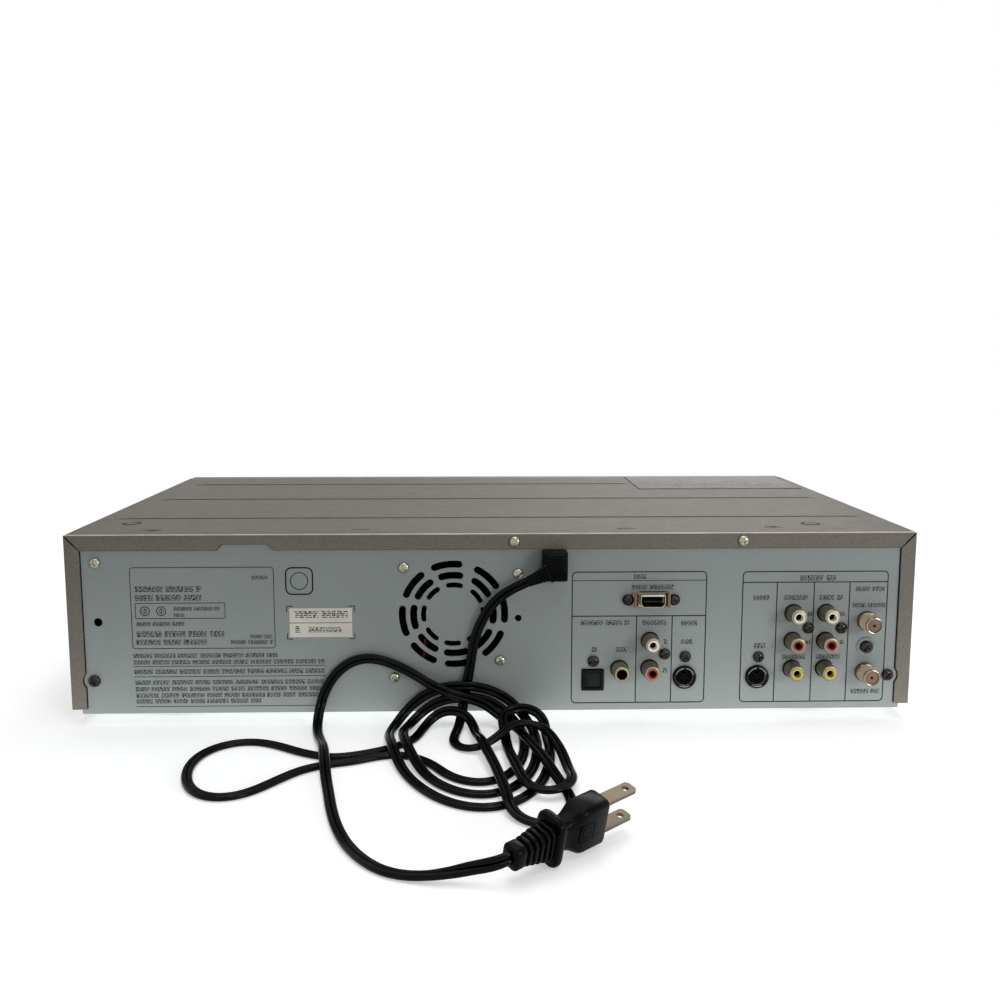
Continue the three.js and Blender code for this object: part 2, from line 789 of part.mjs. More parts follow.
const yFasciaBack = yCoverFront - seat;
const boardFaceY = yFasciaBack - frontBoardBack - boardThickness;
const windowX = discX;
const flapAxis = [yFront + fasciaWall / 2, flapBottom + slideGap + flapThickness / 2];
const doorAxis = [yFront + fasciaWall / 2, slotTop - slideGap - doorThickness / 2];
const roundButtonX = halfWidth - roundButtonInset;
const rockerAxis = [yFront + fasciaWall / 2, rockerZ];
const boxButtons = ['tape_eject_button', 'play_button', 'stop_button', 'record_button'].map((name, i) => ({
  name, x: firstButtonX + (i === 0 ? 0 : (i + 1) * buttonPitch), z: buttonRow,
}));
const roundButtons = [
  { name: 'power_button', x: roundButtonX, z: powerButtonZ },
  { name: 'disc_eject_button', x: roundButtonX, z: discButtonZ },
];
const boardTop = slotBottom - throatWall - slideGap;
const boardBottom = zPanBottom + fasciaWall + slideGap;
const boardX0 = -halfWidth + fasciaWall + slideGap;
const boardX1 = halfWidth - fasciaWall - slideGap;
const bossPlaces = [
  [rockerX + buttonPitch, buttonRow], [rockerX + buttonPitch, rockerZ - rockerHeight / 2],
  [rockerX - buttonPitch, rockerZ - rockerHeight / 2], [windowX + windowWidth / 2, rockerZ - rockerHeight / 2],
];

const fasciaOutline = (inset, backRun) => {
  const shape = new THREE.Shape();
  const [front, back] = [yFront + inset, yFasciaBack + backRun];
  const [bottom, top] = [zPanBottom + inset, zFasciaTop - inset];
  shape.moveTo(back, bottom);
  shape.lineTo(back, top);
  shape.lineTo(front + fasciaTopRound, top);
  shape.quadraticCurveTo(front, top, front, top - fasciaTopRound);
  shape.lineTo(front, bottom + fasciaBottomRound);
  shape.quadraticCurveTo(front, bottom, front + fasciaBottomRound, bottom);
  return shape;
};

const addFrontPanel = () => {
  const wallRun = [yFront - overrun, fasciaInner + overrun];
  const shell = cut(
    alongX(fasciaOutline(0, 0), -halfWidth, halfWidth, 4),
    alongX(fasciaOutline(fasciaWall, overrun), -halfWidth + fasciaWall, halfWidth - fasciaWall, 4),
  );
  const throat = block(
    slotX0 - throatWall, slotX1 + throatWall, fasciaInner - fasciaWall / 2, yFasciaBack,
    slotBottom - throatWall, slotTop + throatWall,
  );
  const slot = block(slotX0, slotX1, yFront - overrun, yFasciaBack + overrun, slotBottom, slotTop);
  const bosses = bossPlaces.map(([x, z]) => bar(
    'y', bossRadius, fasciaInner - fasciaWall / 2, boardFaceY - seat, [x, z], 8,
  ));
  const trayHalf = trayFasciaWidth / 2 + slideGap;
  const openings = [
    block(discX - trayHalf, discX + trayHalf, ...wallRun, trayBottomZ, trayTopZ),
    slab(windowX, windowZ, windowWidth / 2 + seat, windowHeight / 2 + seat, yFront - overrun,
      yFront + windowThickness + seat),
    slab(windowX, windowZ, windowWidth / 2 - windowLedge, windowHeight / 2 - windowLedge, ...wallRun),
    block(flapX - flapWidth / 2 - slideGap, flapX + flapWidth / 2 + slideGap, ...wallRun,
      flapBottom, flapBottom + flapHeight + 2 * slideGap),
    slab(rockerX, rockerZ, rockerWidth / 2 + slideGap, rockerHeight / 2 + slideGap, ...wallRun),
    ...boxButtons.map(({ x, z }) => slab(
      x, z, buttonWidth / 2 + slideGap, buttonHeight / 2 + slideGap, ...wallRun,
    )),
    ...roundButtons.map(({ x, z }) => bar('y', roundButtonRadius + slideGap, ...wallRun, [x, z], 20)),
  ];
  const pinHole = pinRadius + pinClearance;
  const pinReach = pinLength + pinClearance + slideGap;
  const pinHoles = [
    bar('x', pinHole, flapX - flapWidth / 2 - pinReach, flapX + flapWidth / 2 + pinReach, flapAxis, 10),
    bar('x', pinHole, slotX0 - pinReach, slotX1 + pinReach, doorAxis, 10),
    bar('x', pinHole, rockerX - rockerWidth / 2 - pinReach, rockerX + rockerWidth / 2 + pinReach, rockerAxis, 10),
  ];
  add('front_panel', cut(join(shell, throat, ...bosses), slot, ...openings, ...pinHoles), 'fasciaPlastic');
};

// A flat plate hung on two pins: round at the hinge edge, in y and z from its axis
const pinnedPlate = (halfSpan, thickness, reach) => {
  const half = thickness / 2;
  const shape = new THREE.Shape();
  const way = Math.sign(reach);
  shape.moveTo(way * half, reach);
  shape.lineTo(-way * half, reach);
  shape.lineTo(-way * half, 0);
  shape.absarc(0, 0, half, way > 0 ? Math.PI : 0, way > 0 ? 2 * Math.PI : Math.PI, false);
  const plate = alongX(shape, -halfSpan, halfSpan, 8);
  const pin = bar('x', pinRadius, -halfSpan - pinLength, halfSpan + pinLength, [0, 0], 10);
  return join(plate, pin);
};

const addFrontCovers = () => {
  const doorReach = -(doorAxis[1] - slotBottom - slideGap);
  const door = add('cassette_door', pinnedPlate(slotWidth / 2 - slideGap, doorThickness, doorReach),
    'fasciaPlastic');
  door.position.set(tapeX, ...doorAxis);
  const flapReach = flapBottom + flapHeight + slideGap - flapAxis[1];
  const flap = add('front_jack_flap', pinnedPlate(flapWidth / 2, flapThickness, flapReach), 'fasciaPlastic');
  flap.position.set(flapX, ...flapAxis);
  add('display_window', slab(
    windowX, windowZ, windowWidth / 2, windowHeight / 2, yFront, yFront + windowThickness,
  ), 'smokedWindow');
};

// A button is a cap through the wall, a flange behind it and a stem to its switch
const switchFaceY = boardFaceY - switchDepth;
const stemEnd = switchFaceY - buttonTravel - seat;
const flangeStart = fasciaInner + seat;

const addButtons = () => {
  for (const { name, x, z } of boxButtons) {
    const solid = join(
      slab(0, 0, buttonWidth / 2, buttonHeight / 2, yFront - buttonProud, flangeStart + buttonFlange),
      slab(0, 0, buttonWidth / 2 + buttonLip, buttonHeight / 2 + buttonLip, flangeStart,
        flangeStart + buttonFlange),
      bar('y', bossRadius / 2, flangeStart, stemEnd, [0, 0], 8),
    );
    add(name, solid, 'greyPlastic').position.set(x, 0, z);
  }
  for (const { name, x, z } of roundButtons) {
    const solid = join(
      bar('y', roundButtonRadius, yFront - buttonProud, flangeStart + buttonFlange, [0, 0], 20),
      bar('y', roundButtonRadius + buttonLip, flangeStart, flangeStart + buttonFlange, [0, 0], 20),
      bar('y', bossRadius / 2, flangeStart, stemEnd, [0, 0], 8),
    );
    add(name, solid, 'greyPlastic').position.set(x, 0, z);
  }
  const reach = rockerAxis[0] - yFront + buttonProud;
  const rocker = join(
    block(-rockerWidth / 2, rockerWidth / 2, -reach, fasciaInner - rockerAxis[0], -rockerHeight / 2,
      rockerHeight / 2),
    bar('x', pinRadius, -rockerWidth / 2 - pinLength, rockerWidth / 2 + pinLength, [0, 0], 10),
  );
  add('channel_rocker', rocker, 'greyPlastic').position.set(rockerX, ...rockerAxis);
};

const addFrontBoard = () => {
  const rear = boardFaceY + boardThickness;
  const lower = block(boardX0, boardX1, boardFaceY, rear, boardBottom, boardTop);
  const tabHalf = roundButtonRadius + buttonLip;
  const tab = block(roundButtonX - tabHalf, boardX1, boardFaceY, rear, boardTop - overrun, discButtonZ + tabHalf);
  const switches = [...boxButtons, ...roundButtons].map(({ x, z }) => slab(
    x, z, switchSize / 2, switchSize / 2, switchFaceY, boardFaceY + boardThickness / 2,
  ));
  const display = slab(
    windowX, windowZ, windowWidth / 2 - 2 * windowLedge, windowHeight / 2,
    fasciaInner + slideGap + seat, boardFaceY + boardThickness / 2,
  );
  add('front_board', join(lower, tab, display, ...switches), 'board');

  const [z, half] = [flapBottom + slideGap + flapHeight / 2, flapHeight / 2];
  const faceY = fasciaInner + slideGap;
  const body = slab(flapX, z, flapWidth / 2, half - slideGap, faceY + frontJackReach, boardFaceY - seat);
  const places = [-1, 0, 1].map((i) => flapX + i * frontJackPitch);
  const barrels = places.map((x) => bar('y', jackBarrelRadius, faceY, faceY + frontJackDepth, [x, z], 16));
  const bores = places.map((x) => bar('y', jackBoreRadius, faceY - overrun, faceY + jackBoreDepth, [x, z], 8));
  add('front_av_jacks', cut(join(body, ...barrels), ...bores), 'darkPlastic');
};

// Disc drive
const trayFront = yFront + trayFasciaThickness + seat;
const discY = trayFront + discFromTrayFront;
const trayRear = discY + trayBehindDisc;
const trayBottom = trayBottomZ + trayLift;
const trayTop = trayBottom + trayThickness;
const trayWidth = driveWidth - 2 * (driveWall + traySideGap);
const discRecessRadius = trayWidth / 2 - discRecessRim;
const rackX = trayWidth / 2 - rackInset;
const trayX0 = discX - trayWidth / 2;
const trayX1 = discX + trayWidth / 2;
const driveX0 = discX - driveWidth / 2;
const driveX1 = discX + driveWidth / 2;
const driveFront = yCoverFront + seat;
const driveRear = trayRear + slideGap + driveWall;
const driveTop = trayTop + slideGap + 2 * driveWall;
const driveBaseTop = driveBaseZ + driveBaseThickness;
const gearPitchRadius = gearModule * pinionTeeth / 2;
const gearPitch = gearModule * Math.PI;
const addendum = gearModule * 0.8;
const dedendum = gearModule * 1.1;
const rackPitchX = rackX;
const pinionX = rackPitchX + gearPitchRadius;
const pinionY = trayFront + pinionFromTrayFront;
const rackBottom = trayBottom - rackHeight;
const traverseZ = driveBaseTop + seat;
const traverseTop = traverseZ + traverseThickness;
const traverseX0 = discX - traverseWidth / 2;
const traverseX1 = discX + traverseWidth / 2;
const traverseY0 = discY - traverseFront;
const traverseY1 = discY + traverseRear;
const pivotY = traverseY1 - driveWall;
const pivotZ = traverseZ + traverseThickness / 2;
const pivotPinRadius = traverseThickness / 2;
const turntableTop = trayBottom - turntableGapToTray;
const platterTop = turntableTop - turntableNoseHeight;
const platterBottom = platterTop - turntableThickness;

// One straight-sided tooth, from its root to its tip, about a pitch line at zero
const toothOutline = () => {
  const atPitch = gearPitch * toothShare / 2;
  const lean = Math.tan(20 * Math.PI / 180);
  return [
    [-dedendum - gearModule / 2, -(atPitch + dedendum * lean)], [addendum, -(atPitch - addendum * lean)],
    [addendum, atPitch - addendum * lean], [-dedendum - gearModule / 2, atPitch + dedendum * lean],
  ];
};

const addDiscTray = () => {
  const plate = block(trayX0, trayX1, trayFront, trayRear, trayBottom, trayTop);
  const frontWall = block(
    trayX0, trayX1, trayFront, trayFront + trayFrontWall,
    trayBottomZ + 2 * slideGap, trayTopZ - 2 * slideGap,
  );
  const recess = bar('z', discRecessRadius, trayTop - discRecessDepth, trayTop + overrun, [discX, discY], 48);
  const inner = bar(
    'z', smallRecessRadius, trayTop - discRecessDepth - smallRecessDepth, trayTop, [discX, discY], 36,
  );
  const window = join(
    bar('z', trayWindowWidth / 2 + slideGap, trayBottom - overrun, trayTop + overrun, [discX, discY], 24),
    block(discX - trayWindowWidth / 2, discX + trayWindowWidth / 2, discY, discY + trayWindowReach,
      trayBottom - overrun, trayTop + overrun),
  );
  const rackLength = trayRear - trayFront - 2 * trayFrontWall - overrun;
  const rackFront = trayFront + 2 * trayFrontWall;
  const toothCount = Math.floor(rackLength / gearPitch);
  const backX = rackPitchX - dedendum;
  const back = block(backX - rackBody, backX, rackFront, rackFront + rackLength, rackBottom, trayBottom + overrun);
  const teeth = [];
  const outline = toothOutline();
  const firstTooth = pinionY - Math.floor((pinionY - rackFront) / gearPitch) * gearPitch + gearPitch / 2;
  for (let i = 0; i < toothCount - 1; i += 1) {
    const y = firstTooth + i * gearPitch;
    const points = outline.map(([out, side]) => [rackPitchX + out, y + side]);
    teeth.push(alongZ(shapeOf(points), rackBottom, trayBottom + trayThickness / 4));
  }
  add('disc_tray', join(cut(join(plate, frontWall), recess, inner, window), back, ...teeth), 'darkPlastic');
  add('tray_fascia', block(
    discX - trayFasciaWidth / 2, discX + trayFasciaWidth / 2, yFront, yFront + trayFasciaThickness,
    trayBottomZ + slideGap, trayTopZ - slideGap,
  ), 'darkPlastic');
};

const addTrayPinion = () => {
  const rootRadius = gearPitchRadius - dedendum;
  const top = trayBottom - seat;
  const disc = bar('z', rootRadius, rackBottom, top, [0, 0], 24);
  const outline = toothOutline();
  const teeth = Array.from({ length: pinionTeeth }, (_, i) => {
    const angle = Math.PI + i * 2 * Math.PI / pinionTeeth;
    const turn = ([out, side]) => {
      const radius = gearPitchRadius + out;
      return [radius * Math.cos(angle) - side * Math.sin(angle), radius * Math.sin(angle) + side * Math.cos(angle)];
    };
    return alongZ(shapeOf(outline.map(turn)), rackBottom, top);
  });
  const shaft = bar('z', capstanRadius, driveBaseTop + seat, rackBottom + overrun / 2, [0, 0], 12);
  add('tray_pinion', join(disc, shaft, ...teeth), 'greyPlastic').position.set(pinionX, pinionY, 0);
};

const addDriveFrame = () => {
  const base = cut(
    block(driveX0, driveX1, driveFront, driveRear, driveBaseZ, driveBaseTop),
    block(traverseX0 + 2 * driveWall, traverseX1 - 2 * driveWall, traverseY0 + 2 * driveWall,
      traverseY1 + driveWall, driveBaseZ - overrun, driveBaseTop + overrun),
  );
  const wallBottom = driveBaseZ - 2 * driveWall;
  const walls = [[driveX0, driveX0 + driveWall], [driveX1 - driveWall, driveX1]].map(([x0, x1]) => block(
    x0, x1, driveFront, driveRear, wallBottom, driveTop,
  ));
  const rear = block(driveX0, driveX1, driveRear - driveWall, driveRear, wallBottom, driveTop);
  const railIn = 2 * driveWall;
  const rails = [[driveX0 + driveWall / 2, trayX0 + railIn], [trayX1 - railIn, driveX1 - driveWall / 2]]
    .flatMap(([x0, x1]) => [
      block(x0, x1, driveFront, trayRear, trayBottom - seat - driveWall, trayBottom - seat),
      block(x0, x1, driveFront, trayRear, trayTop + seat, trayTop + seat + driveWall / 2),
    ]);
  const legs = corners(driveX0, driveX1, driveFront, driveRear, 2 * legRadius).map((at) => bar(
    'z', legRadius, zPanTop + seat, driveBaseZ + driveBaseThickness / 2, at, 12,
  ));
  const earOf = (x) => cut(
    block(x - driveWall / 2, x + driveWall / 2, pivotY - 2 * driveWall, pivotY + 2 * driveWall, driveBaseZ,
      pivotZ + 2 * pivotPinRadius + seat),
    bar('x', pivotPinRadius + seat, x - driveWall, x + driveWall, [pivotY, pivotZ], 12),
  );
  const ears = [traverseX0 - slideGap - driveWall / 2, traverseX1 + slideGap + driveWall / 2];
  const earHoles = ears.map((x) => bar(
    'x', pivotPinRadius + seat, x - driveWall, x + driveWall, [pivotY, pivotZ], 12,
  ));
  add('drive_frame', cut(join(base, ...walls, rear, ...rails, ...legs, ...ears.map(earOf)),
    ...earHoles), 'greyPlastic');
};

// Traverse: the plate that lifts the turntable and carries the pickup
const rodX = traverseX0 + 2 * driveWall;
const rodZ = traverseTop + sledHeight / 2 + seat;
const sledX0 = rodX - 2 * rodRadius;
const sledX1 = sledX0 + sledWidth;
const sledY0 = discY + sledStart;
const rodY0 = sledY0 - 2 * driveWall;
const rodY1 = sledY0 + sledLength + sledTravel + 2 * driveWall;

const addTraverse = () => {
  const plate = block(traverseX0, traverseX1, traverseY0, traverseY1, traverseZ, traverseTop);
  const shaftHole = bar('z', spindleRadius + seat, traverseZ - overrun, traverseTop + overrun, [discX, discY], 12);
  const ear = (y0, y1) => block(
    sledX0, rodX + 2 * rodRadius, y0, y1, traverseTop - traverseThickness / 2, rodZ + 2 * rodRadius,
  );
  const ears = [ear(rodY0 - driveWall, rodY0 + driveWall / 2), ear(rodY1 - driveWall / 2, rodY1 + driveWall)];
  const rodHole = bar('y', rodRadius + seat, rodY0, rodY1, [rodX, rodZ], 12);
  const pins = bar(
    'x', pivotPinRadius, traverseX0 - slideGap - driveWall, traverseX1 + slideGap + driveWall,
    [pivotY, pivotZ], 12,
  );
  add('traverse_frame', join(cut(join(plate, ...ears), rodHole, shaftHole), pins), 'darkPlastic');
  add('guide_rod', bar('y', rodRadius, rodY0 + seat, rodY1 - seat, [rodX, rodZ], 12), 'steel');
  const sledBottom = traverseTop + seat;
  const body = block(sledX0, sledX1, sledY0, sledY0 + sledLength, sledBottom, sledBottom + sledHeight);
  const lens = bar(
    'z', lensRadius, sledBottom, sledBottom + sledHeight + lensHeight, [discX, sledY0 + sledLength / 2], 20,
  );
  const bore = bar('y', rodRadius + seat, sledY0 - overrun, sledY0 + sledLength + overrun, [rodX, rodZ], 12);
  add('pickup_sled', cut(join(body, lens), bore), 'darkPlastic');
  const motor = cut(
    bar('z', motorRadius, traverseZ - seat - motorHeight, traverseZ - seat, [discX, discY], 24),
    bar('z', spindleRadius + seat, traverseZ - motorHeight / 2, traverseZ + overrun, [discX, discY], 12),
  );
  add('spindle_motor', motor, 'steel');
  const platter = bar('z', turntableRadius, platterBottom, platterTop, [0, 0], 28);
  const nose = bar('z', turntableNoseRadius, platterTop - overrun, turntableTop, [0, 0], 20, spindleRadius * 4);
  const shaft = bar('z', spindleRadius, traverseZ - motorHeight / 4, platterBottom + overrun, [0, 0], 12);
  add('turntable', join(platter, nose, shaft), 'greyPlastic').position.set(discX, discY, 0);
};

const addClamper = () => {
  const bridgeBottom = driveTop + seat;
  const bridgeTop = bridgeBottom + bridgeThickness;
  const y0 = discY - bridgeLength / 2;
  const y1 = discY + bridgeLength / 2;
  const hubHole = clamperHubRadius + slideGap;
  const bridge = cut(
    block(driveX0, driveX1, y0, y1, bridgeBottom, bridgeTop),
    bar('z', hubHole, bridgeBottom - overrun, bridgeTop + overrun, [discX, discY], 24),
  );
  add('clamp_bridge', bridge, 'steel');
  const hubBottom = trayTop + clamperBottomGap;
  const flangeBottom = bridgeTop + seat;
  const hub = bar('z', clamperHubRadius, hubBottom, flangeBottom + overrun / 2, [0, 0], 24);
  const flange = bar('z', clamperFlangeRadius, flangeBottom, flangeBottom + clamperFlangeThickness, [0, 0], 24);
  const cavity = bar('z', turntableNoseRadius + slideGap, hubBottom - overrun, bridgeTop, [0, 0], 20);
  add('disc_clamper', cut(join(hub, flange), cavity), 'darkPlastic').position.set(discX, discY, 0);
};

// Tape deck
const deckTop = deckZ + deckSheet;
const deckX0 = tapeX - deckHalfWidth;
const deckX1 = tapeX + deckHalfWidth;
const carriageInnerWidth = 2 * (deckHalfWidth - carriageSideGap);
const carriageHalf = carriageInnerWidth / 2 + carriageSheet;
const sliderHalf = carriageHalf + slideGap;
const sidePlateHalf = sliderHalf + sliderSheet + slideGap;
const carriageBottom = slotBottom + slideGap;
const carriageTop = carriageBottom + carriageInnerHeight + 2 * carriageSheet;
const carriageFront = deckFront;
const carriageRear = carriageFront + carriageDepth;
const sliderTop = carriageTop + slideGap + sliderSheet;
const sidePlateTop = sliderTop;
const reelY = deckFront + reelFromDeckFront;
const drumY = deckFront + drumFromDeckFront;
const drumX = tapeX + drumOffset;
const capstanX = tapeX + capstanOffset;
const capstanY = deckFront + capstanFromDeckFront;

const addDeckFrame = () => {
  const plate = block(deckX0, deckX1, deckFront, deckRear, deckZ, deckTop);
  const fold = (y0, y1) => block(deckX0, deckX1, y0, y1, deckZ - deckFold, deckTop - deckSheet / 2);
  const folds = [fold(deckFront, deckFront + sidePlateSheet), fold(deckRear - sidePlateSheet, deckRear)];
  const sidePlates = [-1, 1].map((side) => {
    const inner = tapeX + side * sidePlateHalf;
    const outer = tapeX + side * (sidePlateHalf + sidePlateSheet);
    return block(
      Math.min(inner, outer), Math.max(inner, outer), deckFront, deckFront + sidePlateDepth,
      deckZ, sidePlateTop,
    );
  });
  const legs = corners(deckX0, deckX1, deckFront, deckRear, 2 * legRadius).map((at) => bar(
    'z', legRadius, zPanTop + seat, deckZ + deckSheet / 2, at, 12,
  ));
  const reelPosts = [-1, 1].map((side) => bar(
    'z', reelSpindleRadius / 2, deckZ, deckTop + reelTableThickness, [tapeX + side * reelSpacing / 2, reelY], 12,
  ));
  const capstanHole = bar(
    'z', capstanRadius + seat, deckZ - overrun, deckTop + overrun, [capstanX, capstanY], 12,
  );
  const collar = bar('z', capstanRadius * 2, deckZ, deckTop + deckSheet, [capstanX, capstanY], 12);
  add('deck_frame', cut(join(plate, ...folds, ...sidePlates, ...legs, ...reelPosts, collar), capstanHole),
    'steel');
};

const addCarriage = () => {
  const z0 = deckTop + slideGap;
  const arms = [-1, 1].map((side) => {
    const inner = tapeX + side * sliderHalf;
    const outer = tapeX + side * (sliderHalf + sliderSheet);
    return block(
      Math.min(inner, outer), Math.max(inner, outer), deckFront, carriageRear, z0, sliderTop,
    );
  });
  const tie = block(
    tapeX - sliderHalf - sliderSheet, tapeX + sliderHalf + sliderSheet,
    carriageRear - carriageLedge, carriageRear, sliderTop - sliderSheet, sliderTop,
  );
  add('carriage_slider', join(...arms, tie), 'steel');

  const outer = block(tapeX - carriageHalf, tapeX + carriageHalf, carriageFront, carriageRear,
    carriageBottom, carriageTop);
  const hollow = block(tapeX - carriageInnerWidth / 2, tapeX + carriageInnerWidth / 2,
    carriageFront - overrun, carriageRear + overrun, carriageBottom + carriageSheet, carriageTop - carriageSheet);
  const floorOpening = block(
    tapeX - carriageInnerWidth / 2 + carriageLedge, tapeX + carriageInnerWidth / 2 - carriageLedge,
    carriageFront + carriageLedge, carriageRear + overrun, carriageBottom - overrun, carriageBottom + overrun,
  );
  const topWindow = block(
    tapeX - reelSpacing / 2, tapeX + reelSpacing / 2, carriageFront + 2 * carriageLedge,
    carriageRear - 2 * carriageLedge, carriageTop - overrun, carriageTop + overrun,
  );
  add('cassette_carriage', cut(outer, hollow, floorOpening, topWindow), 'steel');
};

const addReels = () => {
  const bottom = deckTop + seat;
  const splines = 3;
  for (const [name, side] of [['supply_reel', 1], ['takeup_reel', -1]]) {
    const table = bar('z', reelRadius, bottom, bottom + reelTableThickness, [0, 0], 24);
    const spindle = bar('z', reelSpindleRadius, bottom, bottom + reelSpindleHeight, [0, 0], 12);
    const fins = Array.from({ length: splines }, (_, i) => {
      const fin = new THREE.BoxGeometry(reelSpindleRadius, reelSpindleRadius / 2, reelSpindleHeight - overrun);
      fin.translate(reelSpindleRadius, 0, bottom + (reelSpindleHeight - overrun) / 2);
      return toSolid(fin.rotateZ(i * 2 * Math.PI / splines));
    });
    const hole = bar(
      'z', reelSpindleRadius / 2 + seat, bottom - overrun, deckTop + reelTableThickness + seat, [0, 0], 12,
    );
    const reel = add(name, cut(join(table, spindle, ...fins), hole), 'darkPlastic');
    reel.position.set(tapeX + side * reelSpacing / 2, reelY, 0);
  }
};

// The drums lean to one side, as a helical scan needs, on a wedge that stands on the deck
const addDrums = () => {
  const lean = drumTilt * Math.PI / 180;
  const low = deckTop + seat + drumRadius * Math.sin(lean);
  const group = new THREE.Group();
  group.position.set(drumX, drumY, low);
  group.rotation.set(0, lean, 0);
  player.add(group);
  const lower = bar('z', drumRadius, 0, drumHeight, [0, 0], 36);
  add('drum_base', lower, 'steel', group);
  const upper = bar('z', drumRadius, drumHeight + seat, 2 * drumHeight, [0, 0], 36);
  const rotorCap = bar('z', drumRadius / 2, 2 * drumHeight - overrun, 2 * drumHeight + overrun, [0, 0], 24);
  add('head_drum', join(upper, rotorCap), 'steel', group);
};

const addCapstan = () => {
  const wheelTop = deckZ - seat;
  const wheel = bar('z', flywheelRadius, wheelTop - flywheelThickness, wheelTop, [0, 0], 28);
  const shaft = bar('z', capstanRadius, wheelTop - flywheelThickness, deckTop + capstanHeight, [0, 0], 12);
  add('capstan', join(wheel, shaft), 'steel').position.set(capstanX, capstanY, 0);
};

// Boards with their tall parts
const addBoards = () => {
  const top = boardZ + boardThickness;
  const sink = boardZ + boardThickness / 2;
  const span = mainBoardX1 - mainBoardX0;
  const depth = mainBoardRear - mainBoardFront;
  const midY = (mainBoardRear + mainBoardFront) / 2;
  const chipShares = [[0.15, 0.1, 0.5], [0.42, 0.07, 0.6], [0.62, 0.05, 0.4], [0.85, 0.08, 0.5]];
  const chips = chipShares.map(([place, halfShare, depthShare]) => {
    const x = mainBoardX0 + place * span;
    const half = halfShare * depth;
    return block(x - half * 2, x + half * 2, midY - depthShare * depth / 2, midY + depthShare * depth / 2,
      sink, top + chipHeight);
  });
  add('main_board', join(
    block(mainBoardX0, mainBoardX1, mainBoardFront, mainBoardRear, boardZ, top), ...chips,
  ), 'board');

  const transformerX = powerBoardX0 + transformerSize;
  const transformerY = (powerBoardFront + powerBoardRear) / 2;
  const half = transformerSize / 2;
  const transformer = block(transformerX - half, transformerX + half, transformerY - half, transformerY + half,
    sink, top + transformerHeight);
  const capX = transformerX + half + capacitorRadius + overrun;
  const capacitors = [0, 1].map((i) => bar(
    'z', capacitorRadius, sink, top + capacitorHeight,
    [capX + i * (2 * capacitorRadius + overrun), transformerY + half / 2], 20,
  ));
  const sinkPlate = block(capX - capacitorRadius, capX + 3 * capacitorRadius + overrun,
    powerBoardFront + heatSinkThickness / 2, powerBoardFront + 3 * heatSinkThickness / 2,
    sink, top + transformerHeight);
  add('power_board', join(
    block(powerBoardX0, powerBoardX1, powerBoardFront, powerBoardRear, boardZ, top),
    transformer, ...capacitors, sinkPlate,
  ), 'board');
};

// Mains cord. Its route is laid out on a sheet that runs down the panel, round a corner and
// along the floor: a place across, the run along the sheet and a height off it. A higher
// height at a crossing says which strand is on top, and the strands are then settled so that
// each lies clear of the one under it.
const wallRun = cordCorner * (1 - Math.PI / 2);

const onSheet = ([x, run, height]) => {
  if (run >= cordCorner) return new THREE.Vector3(x, yPanelOut + run, height);
  if (run < wallRun) return new THREE.Vector3(x, yPanelOut + height, cordCorner + wallRun - run);
  const turn = (cordCorner - run) / cordCorner;
  const radius = cordCorner - height;
  return new THREE.Vector3(
    x, yPanelOut + cordCorner - radius * Math.sin(turn), cordCorner - radius * Math.cos(turn),
  );
};

// Which way is off the sheet at a point in space
const offSheet = (point) => {
  const back = Math.max(0, cordCorner - (point.y - yPanelOut));
  const rise = Math.max(0, cordCorner - point.z);
  return back + rise > 0 ? new THREE.Vector3(0, back, rise).normalize() : new THREE.Vector3(0, 0, 1);
};

const floorLevel = cordRest;
const overOne = cordRest + cordLayer;
const overTwo = cordRest + 2 * cordLayer;

// From the bushing down the panel and under the coil, back up through it and round a small
// loop to the right, then back to the outer right of the coil
const leadRoute = [
  [-17.6, -69.3, 7.6], [-12.5, -66.9, 6.8], [-4, -61.7, 5.2], [1.5, -56.3, 3.8], [5.2, -50.2, 2.7],
  [8.3, -43.4, 2], [10.5, -37, 1.6], [11.8, -29, floorLevel], [13, -20, floorLevel],
  [14.8, -12, floorLevel], [16, -4, floorLevel], [18, 10, floorLevel], [20.2, 24, floorLevel],
  [20.6, 34, floorLevel], [17.4, 41.4, floorLevel], [10, 44.8, floorLevel], [2.6, 41.4, floorLevel],
  [-2.8, 37, floorLevel], [-6.6, 31, overOne], [-11.4, 27, overTwo], [-17.4, 26, overTwo],
  [-23.4, 29.4, overTwo], [-27, 37, overOne], [-29.6, 48, floorLevel], [-31.4, 60, floorLevel],
  [-32.5, 74, floorLevel], [-32.7, 86, overOne], [-29.6, 95.6, overOne], [-21.8, 100, floorLevel],
  [-14.2, 96.4, overOne], [-10.8, 87, overOne], [-8.9, 75, overOne], [-7.3, 64, overOne],
  [-6, 52, floorLevel], [-5, 38, floorLevel],
  [-4, 24, floorLevel], [-4, 12, overOne], [-7.4, 3.9, overOne], [-14.9, 0.6, overOne],
  [-22.4, 3.9, overOne], [-25.6, 12, floorLevel],
];

// On the panel the lead hangs from the bushing's snout, whatever the bushing's height
const snoutDrop = 7.33;
const leadLaidRise = 69.3;
const leadRise = bushingZ - snoutDrop - cordCorner - wallRun;
const leadPlaces = leadRoute.map(([x, run, height]) => [
  x, run < 0 ? run * leadRise / leadLaidRise : run, height,
]);

// The coil winds inward, clockwise seen from behind the case. Each of its sizes is what it
// starts with and how much it changes in a turn.
const coilTurns = 2.38;
const coilStepsPerTurn = 28;
const coilMiddle = [15.55, -0.45];
const coilHalfWidth = [40.85, -6.35];
const coilBackReach = [40.7, -6.6];
const coilFrontReach = [91.3, -13.25];
const coilRun = 22;
const coilLean = 0.09;

// The coil lies over the lead near this x, and over the loop in this part of its left side
const leadCrossX = 15;
const leadCrossReach = 9;
const loopCrossX = 38;
const loopCrossFrom = 34;
const loopCrossTo = 60;

